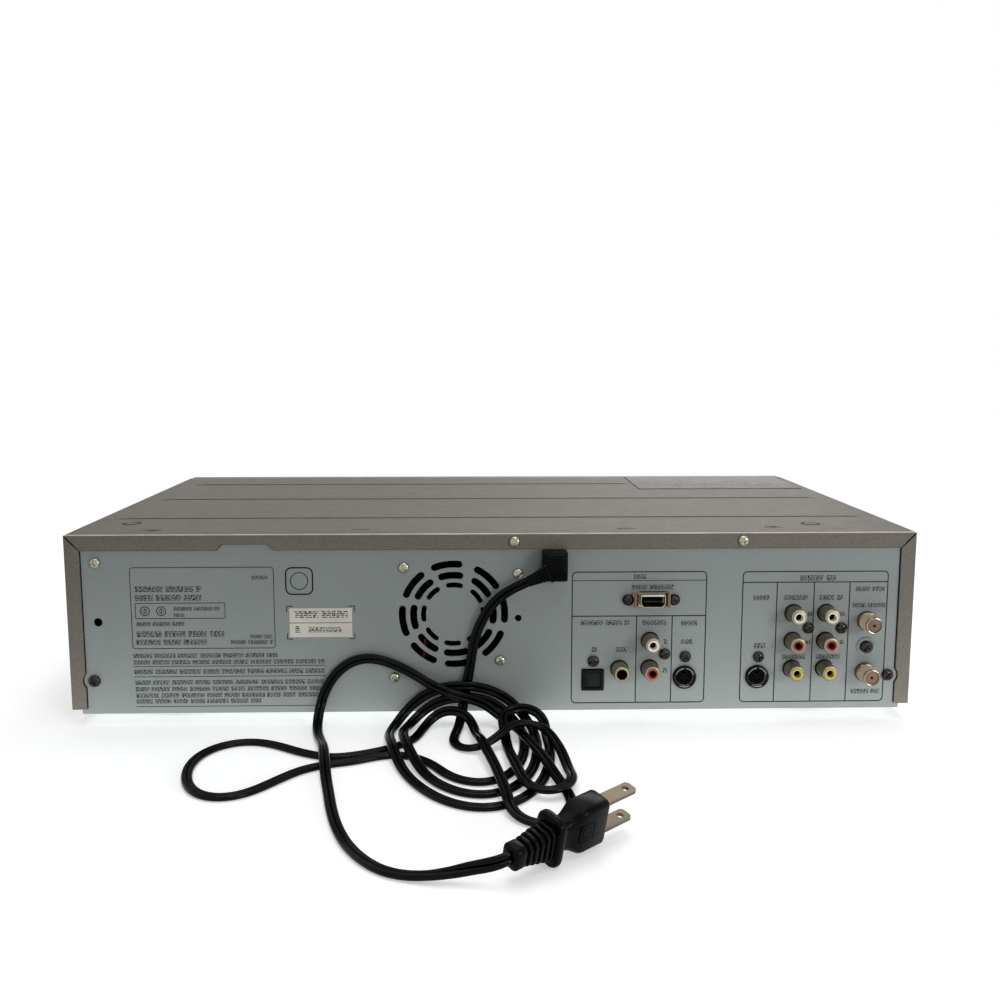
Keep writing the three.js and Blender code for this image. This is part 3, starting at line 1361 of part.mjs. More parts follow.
const coilRoute = () => {
  const count = Math.round(coilTurns * coilStepsPerTurn);
  return Array.from({ length: count + 1 }, (_, i) => {
    const turn = i / count * coilTurns;
    const angle = 2 * Math.PI * turn;
    const sized = ([start, change]) => start + change * turn;
    const toFront = Math.sin(angle) > 0;
    const offset = Math.sin(angle) * sized(toFront ? coilFrontReach : coilBackReach);
    const lean = toFront ? coilLean * offset : 0;
    const x = sized(coilMiddle) - sized(coilHalfWidth) * Math.cos(angle) - lean;
    const run = coilRun + offset;
    const overLead = run < 0 && Math.abs(x - leadCrossX) < leadCrossReach;
    const overLoop = x > loopCrossX && run > loopCrossFrom && run < loopCrossTo;
    return [x, run, overLead || overLoop ? overOne : floorLevel];
  });
};

// From the inside of the coil out to the left and back, down and up through the coil, round
// the big loop that leans on the panel, and to the plug
const tailRoute = [
  [37, 54.5, floorLevel], [44, 50, floorLevel], [52, 50, floorLevel], [60, 53.2, floorLevel],
  [67, 57.2, floorLevel], [78, 60.5, floorLevel], [89, 66.5, floorLevel], [98, 77.5, floorLevel],
  [105.5, 88, floorLevel], [112.5, 94.6, floorLevel], [120.5, 97, floorLevel], [128.5, 94.2, floorLevel],
  [135, 86.8, floorLevel], [139.6, 76, floorLevel], [142, 62, floorLevel], [140.5, 48, floorLevel],
  [134.5, 37, floorLevel], [126, 31.4, floorLevel], [117, 31, floorLevel], [107, 35.5, floorLevel],
  [92, 46, floorLevel], [78, 51.8, floorLevel], [66.5, 49.2, floorLevel], [60, 46.2, floorLevel],
  [53.5, 42.5, floorLevel], [46, 36.5, floorLevel], [40.6, 29.5, floorLevel], [38, 21, floorLevel],
  [35.8, 12.6, floorLevel], [31.4, 5.2, floorLevel], [23.8, 1.4, overOne], [16, 4.2, overOne],
  [11.6, 12.8, floorLevel], [9.6, 26, floorLevel], [8, 38, overOne], [6.2, 47, overOne],
  [3.8, 58, overOne], [1.8, 68, overOne], [0, 80, overOne], [-1.8, 92.6, overOne],
  [-3.2, 104, overOne], [-4.8, 115.4, floorLevel], [-9.6, 123.3, floorLevel], [-17.2, 126.4, floorLevel],
  [-24.9, 123.2, floorLevel], [-29.6, 115, floorLevel], [-30.8, 105, floorLevel],
  [-29.4, 93, floorLevel], [-26, 82, floorLevel], [-23.2, 70, floorLevel], [-20.6, 58.5, overOne],
  [-17.7, 47, overOne], [-14.7, 36.4, overOne], [-11.5, 26.5, overOne], [-7.6, 17, overOne],
  [-2.6, 8, overOne], [2.8, 0.6, overOne], [9, -4.8, overTwo], [16, -8.4, overTwo],
  [24.6, -11.4, overTwo], [33, -14.8, overOne], [40.6, -19, floorLevel], [48.3, -23, floorLevel],
  [56.5, -26.4, floorLevel], [64, -28, floorLevel], [72, -26.8, floorLevel], [81, -20.6, floorLevel],
  [87.8, -10, floorLevel], [90.6, 3.8, floorLevel], [89.5, 17, floorLevel], [86, 31.2, floorLevel],
  [83, 44, overOne], [80.2, 60, overOne], [77.4, 76, floorLevel], [73.9, 93, floorLevel],
  [70.5, 110, floorLevel], [66.2, 126.6, floorLevel], [60.5, 142, floorLevel], [53, 155, floorLevel],
  [44.7, 164, floorLevel], [35.8, 168.6, floorLevel], [26.6, 170.6, 2.4], [18, 171.8, 4.4],
  [10.6, 172.6, 6.6],
];

// Pairs of places where two strands pass close to each other, in groups, one per crossing
const findCrossings = (places) => {
  const crossings = [];
  const apart = Math.ceil(cordSkip / cordStep);
  const grouped = new Map();
  for (let i = 0; i < places.length; i += 1) {
    for (let j = i + apart; j < places.length; j += 1) {
      const distance = Math.hypot(places[i][0] - places[j][0], places[i][1] - places[j][1]);
      if (distance < cordReach) {
        const near = [[-1, 0], [0, -1], [-1, -1], [-1, 1], [-2, 0], [-2, -1], [-2, 1]].map(
          ([di, dj]) => grouped.get(`${i + di},${j + dj}`),
        ).find((group) => group);
        const group = near ?? { pairs: [], closest: Infinity, secondOver: false };
        if (!near) crossings.push(group);
        group.pairs.push([i, j, distance]);
        if (distance < group.closest) {
          group.closest = distance;
          group.secondOver = places[j][2] >= places[i][2];
        }
        grouped.set(`${i},${j}`, group);
      }
    }
  }
  return crossings;
};

const settle = (places) => {
  const crossings = findCrossings(places).filter(({ closest }) => closest < cordTouch);
  const heights = places.map((place) => Math.max(place[2], cordRest));
  const climb = cordSlope * cordStep;
  for (let round = 0; round < settleRounds; round += 1) {
    for (const { pairs, secondOver } of crossings) {
      for (const [i, j] of pairs) {
        const [under, over] = secondOver ? [i, j] : [j, i];
        heights[over] = Math.max(heights[over], heights[under] + cordLayer);
      }
    }
    for (let i = 1; i < heights.length; i += 1) heights[i] = Math.max(heights[i], heights[i - 1] - climb);
    for (let i = heights.length - 2; i >= 0; i -= 1) {
      heights[i] = Math.max(heights[i], heights[i + 1] - climb);
    }
  }
  const last = heights.length - 1;
  const soft = heights.map((_, i) => {
    const half = Math.min(cordSoftening, i, last - i);
    const window = heights.slice(i - half, i + half + 1);
    return window.reduce((sum, one) => sum + one, 0) / window.length;
  });
  return places.map(([x, run], i) => [x, run, soft[i]]);
};

// Even steps along a route, with the step at which each of its own points is passed
const spacedAlong = (route) => {
  const curve = new THREE.CatmullRomCurve3(
    route.map((place) => new THREE.Vector3(...place)), false, 'centripetal',
  );
  const fine = 40;
  curve.arcLengthDivisions = fine * (route.length - 1);
  const lengths = curve.getLengths();
  const places = curve.getSpacedPoints(Math.round(curve.getLength() / cordStep)).map((point) => point.toArray());
  return { places, stepOf: (i) => Math.round(lengths[fine * i] / cordStep) };
};

// A run of flat flex whose wide side lies on the sheet, or turns away from it toward its end
class FlexRun extends THREE.CatmullRomCurve3 {
  constructor(points, twist) {
    super(points, false, 'centripetal');
    this.arcLengthDivisions = 20 * points.length;
    this.twist = twist;
  }

  computeFrenetFrames(segments) {
    const frames = { tangents: [], normals: [], binormals: [] };
    const length = this.getLength();
    for (let i = 0; i <= segments; i += 1) {
      const share = i / segments;
      const tangent = this.getTangentAt(share);
      const out = offSheet(this.getPointAt(share));
      const near = THREE.MathUtils.smoothstep(share * length, length - twistLength, length);
      out.applyAxisAngle(tangent, this.twist * near);
      const across = new THREE.Vector3().crossVectors(tangent, out).normalize();
      const normal = new THREE.Vector3().crossVectors(across, tangent);
      frames.tangents.push(tangent);
      frames.normals.push(normal);
      frames.binormals.push(across);
    }
    return frames;
  }
}

const flexOutline = shapeOf([
  [cordThickness / 2, flexFlat / 2], [0, cordWidth / 2], [-cordThickness / 2, flexFlat / 2],
  [-cordThickness / 2, -flexFlat / 2], [0, -cordWidth / 2], [cordThickness / 2, -flexFlat / 2],
]);

const flexAlong = (points, twist = 0) => {
  const path = new FlexRun(points, twist);
  const steps = Math.round(path.getLength() / cordMeshStep);
  return toSolid(new THREE.ExtrudeGeometry(flexOutline, { steps, bevelEnabled: false, extrudePath: path }));
};

// The plug lies on its narrow side with its blades one above the other. Its own +Y runs from
// the end of the strain relief to the tips of the blades.
const roundedBlock = (width, height, corner, y0, y1) => {
  const [w, h] = [width / 2, height / 2];
  const shape = new THREE.Shape();
  shape.moveTo(-w + corner, -h);
  shape.lineTo(w - corner, -h);
  shape.quadraticCurveTo(w, -h, w, -h + corner);
  shape.lineTo(w, h - corner);
  shape.quadraticCurveTo(w, h, w - corner, h);
  shape.lineTo(-w + corner, h);
  shape.quadraticCurveTo(-w, h, -w, h - corner);
  shape.lineTo(-w, -h + corner);
  shape.quadraticCurveTo(-w, -h, -w + corner, -h);
  return alongY(shape, y0, y1, 3);
};

const plugSolids = () => {
  const size = (share) => [
    reliefStart[0] + (reliefEnd[0] - reliefStart[0]) * share,
    reliefStart[1] + (reliefEnd[1] - reliefStart[1]) * share,
  ];
  const pitch = (reliefLength - reliefCap) / reliefRibs;
  const ribs = [[0, reliefCap, 0]];
  for (let i = 0; i < reliefRibs; i += 1) {
    const start = reliefCap + (i + 1 - reliefRibShare) * pitch;
    ribs.push([start, start + reliefRibShare * pitch, (i + 1) / reliefRibs]);
  }
  const discs = ribs.map(([y0, y1, share]) => {
    const [width, height] = size(share);
    return roundedBlock(width, height, width / 3, y0, y1);
  });
  const cores = ribs.slice(1).map(([y0, , share]) => {
    const [width, height] = size(share);
    return roundedBlock(
      width - 2 * reliefRibDepth, height - 2 * reliefRibDepth, width / 4, y0 - pitch, y0 + overrun / 4,
    );
  });
  const collarEnd = reliefLength + collarThickness;
  const collar = roundedBlock(collarWidth, collarHeight, plugCorner, reliefLength - overrun / 4, collarEnd);
  const neck = roundedBlock(
    plugThickness - plugCorner / 2, plugHeight - plugCorner, plugCorner, collarEnd - overrun / 4,
    collarEnd + plugNeck + overrun / 4,
  );
  const face = collarEnd + plugNeck + plugLength;
  const body = roundedBlock(plugThickness, plugHeight, plugCorner, collarEnd + plugNeck, face);
  const levels = [bladeSpacing / 2, -bladeSpacing / 2];
  const pockets = levels.map((z) => slab(
    0, z, bladeWidth / 2 + seat, bladeThickness / 2 + seat, face - bladeRoot, face + overrun,
  ));
  const blades = levels.map((z) => {
    const tip = face + bladeLength;
    const outline = shapeOf([
      [-bladeWidth / 2, face - bladeRoot + seat], [bladeWidth / 2, face - bladeRoot + seat],
      [bladeWidth / 2, tip - bladeTipChamfer], [bladeWidth / 2 - bladeTipChamfer, tip],
      [-bladeWidth / 2 + bladeTipChamfer, tip], [-bladeWidth / 2, tip - bladeTipChamfer],
    ]);
    const plate = alongZ(outline, z - bladeThickness / 2, z + bladeThickness / 2);
    const hole = bar(
      'z', bladeHoleRadius, z - bladeThickness, z + bladeThickness, [0, tip - bladeHoleFromTip], 12,
    );
    return cut(plate, hole);
  });
  return { body: cut(join(body, neck, collar, ...discs, ...cores), ...pockets), blades };
};

// The least gap of the coil to itself, between the outlines of the flex at every step
const reportLeastGap = (points, from, to) => {
  const rings = [];
  for (let i = from; i <= to; i += 1) {
    const ahead = points[i + 1].clone().sub(points[i - 1]).normalize();
    const across = new THREE.Vector3().crossVectors(offSheet(points[i]), ahead).normalize();
    const normal = new THREE.Vector3().crossVectors(ahead, across);
    const corners = [[1, 0], [0.8, 0.4], [0.6, 1], [0, 1], [-0.6, 1], [-0.8, 0.4], [-1, 0]];
    const at = ([wide, thick], side) => points[i].clone()
      .addScaledVector(across, wide * cordWidth / 2)
      .addScaledVector(normal, side * thick * cordThickness / 2);
    rings.push([1, -1].flatMap((side) => corners.map((corner) => at(corner, side))));
  }
  let least = Infinity;
  const apart = Math.ceil(cordSkip / cordStep);
  for (let i = 0; i < rings.length; i += 1) {
    for (let j = i + apart; j < rings.length; j += 1) {
      if (points[from + i].distanceTo(points[from + j]) < 2 * cordWidth) {
        for (const a of rings[i]) for (const b of rings[j]) least = Math.min(least, a.distanceTo(b));
      }
    }
  }
  console.log(`least gap of the coil to itself ${least.toFixed(2)} mm`);
};

const addMainsCord = () => {
  const plug = new THREE.Group();
  plug.rotation.set(plugPitch * degree, plugRoll * degree, plugYaw * degree, 'ZXY');
  const { body, blades } = plugSolids();
  add('plug_body', body, 'rubber', plug);
  blades.forEach((blade, i) => add(`plug_blade_${i + 1}`, blade, 'brass', plug));
  plug.updateMatrixWorld(true);
  const lowest = new THREE.Box3().setFromObject(plug, true).min.z;
  plug.position.set(plugPlace[0], yPanelOut + plugPlace[1], plugRest - lowest);
  player.add(plug);

  const ahead = new THREE.Vector3(0, 1, 0).applyEuler(plug.rotation);
  const intoPlug = [plugApproach, seat].map((back) => {
    const at = plug.position.clone().addScaledVector(ahead, -back);
    return [at.x, at.y - yPanelOut, at.z];
  });
  const coilPlaces = coilRoute();
  const { places, stepOf } = spacedAlong([...leadPlaces, ...coilPlaces, ...tailRoute, ...intoPlug]);
  const settled = settle(places).map(onSheet);
  const coilFrom = stepOf(leadRoute.length);
  const coilTo = stepOf(leadRoute.length + coilPlaces.length - 1);
  const run = (from, to) => {
    const points = settled.slice(from, to + 1);
    if (from > 0) points[0] = points[0].clone().lerp(points[1], seat / cordStep);
    return points;
  };
  add('mains_cord_lead', flexAlong(run(0, coilFrom)), 'cordPlastic');
  add('mains_cord_coil', flexAlong(run(coilFrom, coilTo)), 'cordPlastic');
  add('mains_cord_tail', flexAlong(run(coilTo, settled.length - 1), plugTwist * degree), 'cordPlastic');
  reportLeastGap(settled, coilFrom, coilTo);
};

// Bushing: the block outside the panel, its neck through it, a flange inside and a snout that
// turns the cord aside and down
const addBushing = () => {
  const blockStart = yPanelOut + seat;
  const outer = slab(
    bushingX, bushingZ, bushingWidth / 2, bushingHeight / 2, blockStart, blockStart + bushingDepth,
  );
  const neck = slab(
    bushingX, bushingZ, bushingNeck / 2, bushingNeck / 2, yPanelIn - seat - bushingInner / 2,
    blockStart + overrun,
  );
  const flange = slab(
    bushingX, bushingZ, bushingNeck / 2 + overrun, bushingNeck / 2 + overrun, yPanelIn - seat - bushingInner,
    yPanelIn - seat,
  );
  const cordStart = onSheet(leadPlaces[0]);
  const leave = onSheet(leadPlaces[1]).sub(cordStart).normalize();
  const snoutGeometry = new THREE.BoxGeometry(snoutThickness, snoutLength, snoutHeight);
  snoutGeometry.translate(0, -snoutLength / 2 - seat, 0);
  const upright = new THREE.Vector3(0, 0, 1);
  const side = new THREE.Vector3().crossVectors(leave, upright).normalize();
  const rise = new THREE.Vector3().crossVectors(side, leave);
  snoutGeometry.applyMatrix4(new THREE.Matrix4().makeBasis(side, leave, rise));
  snoutGeometry.translate(cordStart.x, cordStart.y, cordStart.z);
  const rib = (share) => {
    const ribGeometry = new THREE.BoxGeometry(
      snoutThickness + overrun / 2, snoutLength / 6, snoutHeight + overrun / 2,
    );
    ribGeometry.translate(0, -seat - share * snoutLength, 0);
    ribGeometry.applyMatrix4(new THREE.Matrix4().makeBasis(side, leave, rise));
    return toSolid(ribGeometry.translate(cordStart.x, cordStart.y, cordStart.z));
  };
  add('cord_bushing', join(outer, neck, flange, toSolid(snoutGeometry), rib(0.25), rib(0.6)), 'rubber');
};

addTopCover();
addRearPanel();
addChassisPan();
addFeet();
addRearJacks();
addFan();
addFrontPanel();
addFrontCovers();
addButtons();
addFrontBoard();
addDiscTray();
addTrayPinion();
addDriveFrame();
addTraverse();
addClamper();
addDeckFrame();
addCarriage();
addReels();
addDrums();
addCapstan();
addBoards();
addBushing();
addMainsCord();

export default player;
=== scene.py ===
# A disc and video cassette combination player, seen from behind, with its mains cord.
# Lengths are millimetres, and become metres where a mesh is made. +Z is up, the jacks face +Y.
import math
import random

import bmesh
import bpy
import numpy as np
from mathutils import Matrix, Vector


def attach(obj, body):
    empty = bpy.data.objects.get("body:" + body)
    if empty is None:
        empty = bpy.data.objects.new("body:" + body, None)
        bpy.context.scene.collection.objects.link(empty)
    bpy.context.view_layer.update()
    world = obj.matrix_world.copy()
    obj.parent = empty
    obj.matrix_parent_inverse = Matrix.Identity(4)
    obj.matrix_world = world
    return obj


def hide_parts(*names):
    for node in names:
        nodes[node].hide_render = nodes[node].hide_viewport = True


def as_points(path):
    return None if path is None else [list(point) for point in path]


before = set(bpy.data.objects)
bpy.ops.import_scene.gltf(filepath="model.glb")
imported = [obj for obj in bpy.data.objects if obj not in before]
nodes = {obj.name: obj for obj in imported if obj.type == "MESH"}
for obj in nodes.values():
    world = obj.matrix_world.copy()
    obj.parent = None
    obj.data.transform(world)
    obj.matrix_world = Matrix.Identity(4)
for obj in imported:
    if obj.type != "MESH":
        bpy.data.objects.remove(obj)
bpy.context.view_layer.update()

MM = 0.001
CASE = "player_case"
HALF_WIDTH = 217.5
TOP = 99.5
COVER_REAR = 128.6
COVER_FRONT = -117.9
PANEL_OUT = 127.5
PANEL_IN = 126.5
FRONT = -139.9


def down(drop):
    """Height of a place given as its drop from the top of the case."""
    return TOP - drop


def add_object(name, data):
    made = bpy.data.objects.new(name, data)
    bpy.context.scene.collection.objects.link(made)
    return made


# Camera, at the photograph's place and angle
CAMERA_RIGHT = (-0.99965476, 0.02626994, 0.00049230)
CAMERA_UP = (-0.00309965, -0.13651643, 0.99063296)
CAMERA_BACK = (0.02609107, 0.99028943, 0.13655072)
CAMERA_PLACE = (11.2, 662.6, 190.4)


def make_camera():
    data = bpy.data.cameras.new("camera")
    data.sensor_width = 36
    data.lens = 38.34
    data.clip_start = 0.02
    data.clip_end = 50
    camera = add_object("camera", data)
    place = Matrix((CAMERA_RIGHT, CAMERA_UP, CAMERA_BACK)).transposed().to_4x4()
    place.translation = Vector(CAMERA_PLACE) * MM
    camera.matrix_world = place
    bpy.context.scene.camera = camera


make_camera()


# Materials
def linear(colour):
    """0 to 255 as written in a picture, to linear light."""
    out = []
    for part in colour:
        c = part / 255
        out.append(c / 12.92 if c <= 0.04045 else ((c + 0.055) / 1.055) ** 2.4)
    return (*out, 1)


def scaled(colour, factor):
    return (*(min(1, max(0, c * factor)) for c in colour[:3]), 1)


def add_node(tree, kind, inputs=None, **settings):
    """A shader node. Each input is a value, or the output of another node, which is linked."""
    made = tree.nodes.new("ShaderNode" + kind)
    for key, value in settings.items():
        setattr(made, key, value)
    for key, value in (inputs or {}).items():
        if isinstance(value, bpy.types.NodeSocket):
            tree.links.new(value, made.inputs[key])
        else:
            made.inputs[key].default_value = value
    return made


def maths(tree, operation, *values, clamp=False):
    return add_node(tree, "Math", dict(enumerate(values)), operation=operation, use_clamp=clamp).outputs[0]


class Shade:
    """A material whose nodes are made with short calls."""

    def __init__(self, name):
        self.material = bpy.data.materials.new(name)
        self.material.use_nodes = True
        self.tree = self.material.node_tree
        self.shader = self.tree.nodes["Principled BSDF"]
        self.where = self.node("TexCoord").outputs["Object"]

    def node(self, kind, inputs=None, **settings):
        return add_node(self.tree, kind, inputs, **settings)

    def noise(self, size, detail=2, roughness=0.5, scale=None):
        """Noise whose blotches are about size millimetres."""
        where = self.where
        if scale:
            where = self.node("Mapping", {"Vector": where, "Scale": scale}).outputs["Vector"]
        return self.node("TexNoise", {"Vector": where, "Scale": 1000 / size, "Detail": detail,
                                      "Roughness": roughness}).outputs["Fac"]

    def ramp(self, source, *stops):
        made = self.node("ValToRGB", {"Fac": source})
        band = made.color_ramp
        while len(band.elements) < len(stops):
            band.elements.new(0.5)
        for element, (place, colour) in zip(band.elements, stops):
            element.position = place
            element.color = colour
        return made.outputs["Color"]

    def vary(self, source, base, change):
        return self.ramp(source, (0.3, scaled(base, 1 - change)), (0.7, scaled(base, 1 + change)))

    def mix(self, factor, a, b):
        return self.node("Mix", {0: factor, 6: a, 7: b}, data_type="RGBA").outputs[2]

    def spread(self, source, low, high, start=0.3, end=0.7):
        return self.node("MapRange", {"Value": source, "From Min": start, "From Max": end, "To Min": low,
                                      "To Max": high}).outputs["Result"]

    def painted_fold_highlight(self):
        """1 on the fold between the top and the rear lip: a painted highlight where the bend catches the light."""
        split = self.node("SeparateXYZ", {0: self.where})
        high = self.spread(split.outputs["Z"], 0, 1, (TOP - 0.5) * MM, (TOP - 0.2) * MM)
        back = self.spread(split.outputs["Y"], 0, 1, (COVER_REAR - 1.9) * MM, (COVER_REAR - 1.3) * MM)
        fold = maths(self.tree, "MULTIPLY", high, back, clamp=True)
        return maths(self.tree, "MULTIPLY", fold, self.spread(self.noise(16, 3), 0.55, 1), clamp=True)

    def bump(self, source, height, strength, after=None):
        """A bump whose full height is height millimetres."""
        inputs = {"Height": source, "Strength": strength, "Distance": height * MM}
        if after:
            inputs["Normal"] = after
        return self.node("Bump", inputs).outputs["Normal"]

    def set(self, **inputs):
        for key, value in inputs.items():
            socket = self.shader.inputs[key.replace("_", " ")]
            if isinstance(value, bpy.types.NodeSocket):
                self.tree.links.new(value, socket)
            else:
                socket.default_value = value


def painted_metal():
    """Satin warm grey paint with fine metal flakes and a faint orange peel, with a painted highlight along the rear
    fold.
    """
    shade = Shade("cover_paint")
    base = linear((103, 98, 91))
    flakes = shade.noise(0.8)
    fine = shade.ramp(flakes, (0.3, scaled(base, 0.74)), (0.5, base), (0.7, scaled(base, 1.32)))
    painted = shade.mix(0.42, fine, shade.vary(shade.noise(60, 3), base, 0.07))
    # The rear fold is painted pale: a painted highlight where the bend catches the light.
    shade.set(Base_Color=shade.mix(shade.painted_fold_highlight(), painted, linear((214, 206, 192))), Metallic=0.05,
              Roughness=shade.spread(shade.noise(9, 3), 0.56, 0.64), Specular_IOR_Level=0.12,
              Normal=shade.bump(flakes, 0.012, 0.6, shade.bump(shade.noise(1.1), 0.02, 0.5)))
    return shade.material


def panel_steel():
    """Coated sheet steel: an even grey-green with a fine grain and soft stains."""
    shade = Shade("panel_steel")
    base = linear((125, 131, 129))
    grain = shade.noise(0.5, 2, 0.6, (1, 1, 0.35))
    stains = shade.noise(45, 4, 0.6)
    shade.set(Base_Color=shade.mix(0.55, shade.vary(grain, base, 0.13), shade.vary(stains, base, 0.05)),
              Metallic=0.06, Roughness=shade.spread(shade.noise(14, 3), 0.46, 0.56), Specular_IOR_Level=0.15,
              Normal=shade.bump(grain, 0.01, 0.5))
    return shade.material


def plastic(name, colour, roughness, grain=0.8, depth=0.03, worn=0.12, gloss=0.5):
    """Moulded plastic: spark grain, slight cloudiness and duller patches."""
    shade = Shade(name)
    shade.set(Base_Color=shade.vary(shade.noise(12, 3), linear(colour), worn),
              Roughness=shade.spread(shade.noise(6, 3), roughness - 0.06, roughness + 0.08),
              Specular_IOR_Level=gloss, Normal=shade.bump(shade.noise(grain), depth, 0.7))
    return shade.material


def metal(name, colour, roughness, size=1.2, contrast=0.2, metallic=0.95, scale=None):
    """Plated or plain metal with light streaks and tarnish."""
    shade = Shade(name)
    base = linear(colour)
    streak = shade.noise(size, 3, 0.6, scale)
    tarnish = shade.noise(size * 5, 3)
    dull = shade.ramp(tarnish, (0.35, scaled(base, 1 - contrast)), (0.7, base))
    shade.set(Base_Color=shade.mix(0.5, shade.vary(streak, base, contrast), dull), Metallic=metallic,
              Roughness=shade.spread(tarnish, roughness - 0.06, roughness + 0.12),
              Normal=shade.bump(streak, 0.01, 0.4))
    return shade.material


def circuit_board():
    """Green lacquered board with copper tracks under the lacquer."""
    shade = Shade("board")
    tracks = shade.node("TexVoronoi", {"Vector": shade.where, "Scale": 180}, distance="MANHATTAN")
    tracks = tracks.outputs["Distance"]
    shade.set(Base_Color=shade.ramp(tracks, (0.35, linear((38, 78, 40))), (0.45, linear((66, 110, 52)))),
              Roughness=shade.spread(shade.noise(8), 0.3, 0.45), Normal=shade.bump(tracks, 0.05, 0.4))
    return shade.material


PAINT = painted_metal()
PANEL = panel_steel()
FASCIA = plastic("fascia_plastic", (84, 85, 83), 0.4, 0.6, 0.02, worn=0.03, gloss=0.3)
# Dark plastic for real dark parts. It is also used for painted shade on the front: a dark line and dark surrounds
# for a groove and for gaps.
DARK_PLASTIC_AND_SHADE = plastic("dark_plastic", (22, 23, 24), 0.42, gloss=0.12)
BLACK = plastic("black_plastic", (11, 12, 13), 0.32, 0.7, 0.03, gloss=0.1)
# Dull black for real black parts, and also for painted shade: dark lines, rings and plates set where there is only
# shade.
DULL_BLACK_AND_SHADE = plastic("dull_black_and_painted_shade", (6, 6, 6), 0.7, 0.7, 0.05, gloss=0.05)
WINDOW = plastic("smoked_window", (10, 11, 13), 0.12, 6, 0.01, gloss=0.3)
GREY = plastic("grey_plastic", (150, 149, 146), 0.45)
RUBBER = plastic("soft_moulding", (6, 7, 8), 0.24, 0.9, 0.03, gloss=0.045)
CORD = plastic("cord_plastic", (5, 6, 7), 0.16, 1.2, 0.02, gloss=0.09)
STEEL = metal("bare_steel", (176, 176, 172), 0.38)
ZINC = metal("screw_zinc", (164, 162, 142), 0.2, 0.8, 0.34)
BLACKENED = metal("screw_black", (52, 50, 48), 0.22, 0.6, 0.3, 0.85)
BRASS = metal("brass", (104, 94, 78), 0.3, 2.2, 0.14, 0.95, (1, 1, 4))
NICKEL = metal("warm_nickel", (146, 134, 114), 0.34, 0.9, 0.3)
GILT = metal("pale_gilt", (158, 148, 120), 0.3, 0.9, 0.25)
BRIGHT = metal("bright_nickel", (152, 139, 120), 0.18, 1.2, 0.3)
BOARD = circuit_board()
INK = plastic("printing_ink", (20, 23, 23), 0.6, 0.5, 0.01, gloss=0.1)
PAPER = plastic("pale_sticker", (184, 181, 172), 0.55, 0.5, 0.01, gloss=0.2)
FILM = plastic("cover_sticker", (122, 120, 113), 0.5, 0.4, 0.01, gloss=0.08)
FAINT = plastic("faint_print", (168, 166, 158), 0.5, 0.5, 0.01, gloss=0.08)
WHITE = plastic("ring_white", (214, 209, 196), 0.35)
RED = plastic("ring_red", (122, 22, 30), 0.3)
YELLOW = plastic("ring_yellow", (170, 162, 66), 0.35)
AMBER = plastic("dull_insulator", (104, 80, 60), 0.5)
WIRE = plastic("red_lead", (104, 16, 28), 0.5, gloss=0.1)
LEGEND = plastic("pale_legend", (196, 196, 192), 0.5)
GLOW = plastic("display_segments", (52, 66, 66), 0.4)



def dyed(material, *meshes):
    """The meshes, each all in one material."""
    for mesh in meshes:
        mesh.materials.clear()
        mesh.materials.append(material)
    return list(meshes)


for finish, names in (
    (PAINT, "top_cover"), (PANEL, "rear_panel chassis_pan"),
    (RUBBER, "foot_front_left foot_front_right foot_rear_left foot_rear_right cord_bushing plug_body"),
    (NICKEL, "av_in_jacks av_out_jacks dvd_audio_jacks coax_jack rf_unit"),
    (BLACK, "svideo_in svideo_out optical_jack front_av_jacks"), (DULL_BLACK_AND_SHADE, "fan_frame fan_rotor"),
    (DARK_PLASTIC_AND_SHADE, "disc_tray traverse_frame pickup_sled disc_clamper supply_reel takeup_reel"),
    (FASCIA, "front_panel cassette_door tray_fascia front_jack_flap"), (WINDOW, "display_window"),
    (STEEL, "component_jack guide_rod spindle_motor clamp_bridge deck_frame carriage_slider"),
    (STEEL, "cassette_carriage drum_base head_drum capstan"),
    (GREY, "tape_eject_button play_button stop_button record_button power_button disc_eject_button"),
    (GREY, "channel_rocker tray_pinion drive_frame turntable"),
    (BOARD, "jack_board front_board main_board power_board"), (BRASS, "plug_blade_1 plug_blade_2"),
    (CORD, "mains_cord_lead mains_cord_coil mains_cord_tail"),
):
    dyed(finish, *(nodes[name].data for name in names.split()))


# Mesh helpers
def opened(mesh):
    work = bmesh.new()
    work.from_mesh(mesh)
    return work


def closed(work, mesh=None):
    mesh = mesh or bpy.data.meshes.new("piece")
    work.to_mesh(mesh)
    work.free()
    return mesh


def finish_mesh(name, parts, body=CASE, smooth=35):
    """Makes an object of its parts, shades it smooth up to an angle and lets it ride."""
    made = add_object(name, joined(parts))
    work = opened(made.data)
    for face in work.faces:
        face.smooth = True
    for edge in work.edges:
        if len(edge.link_faces) == 2:
            edge.smooth = edge.calc_face_angle(0) < math.radians(smooth)
    closed(work, made.data)
    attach(made, body)
    return made


def joined(meshes):
    """One mesh of several, with their materials kept."""
    work = bmesh.new()
    materials = []
    for mesh in meshes:
        start = len(work.faces)
        work.from_mesh(mesh)
        if mesh.materials[0] not in materials:
            materials.append(mesh.materials[0])
        work.faces.ensure_lookup_table()
        for face in work.faces[start:]:
            face.material_index = materials.index(mesh.materials[0])
    out = closed(work)
    for material in materials:
        out.materials.append(material)
    return out


def mesh_of(points, faces):
    """A mesh of points in millimetres."""
    mesh = bpy.data.meshes.new("piece")
    mesh.from_pydata([Vector(p) * MM for p in points], [], faces)
    work = opened(mesh)
    bmesh.ops.recalc_face_normals(work, faces=work.faces)
    return closed(work, mesh)


def skinned(rows, count):
    """Faces between rows of count points each, with a face over each end."""
    faces = [tuple(range(count)), tuple(range((rows - 1) * count, rows * count))]
    for i in range(rows - 1):
        for k in range(count):
            m = (k + 1) % count
            faces.append((i * count + k, i * count + m, (i + 1) * count + m, (i + 1) * count + k))
    return faces


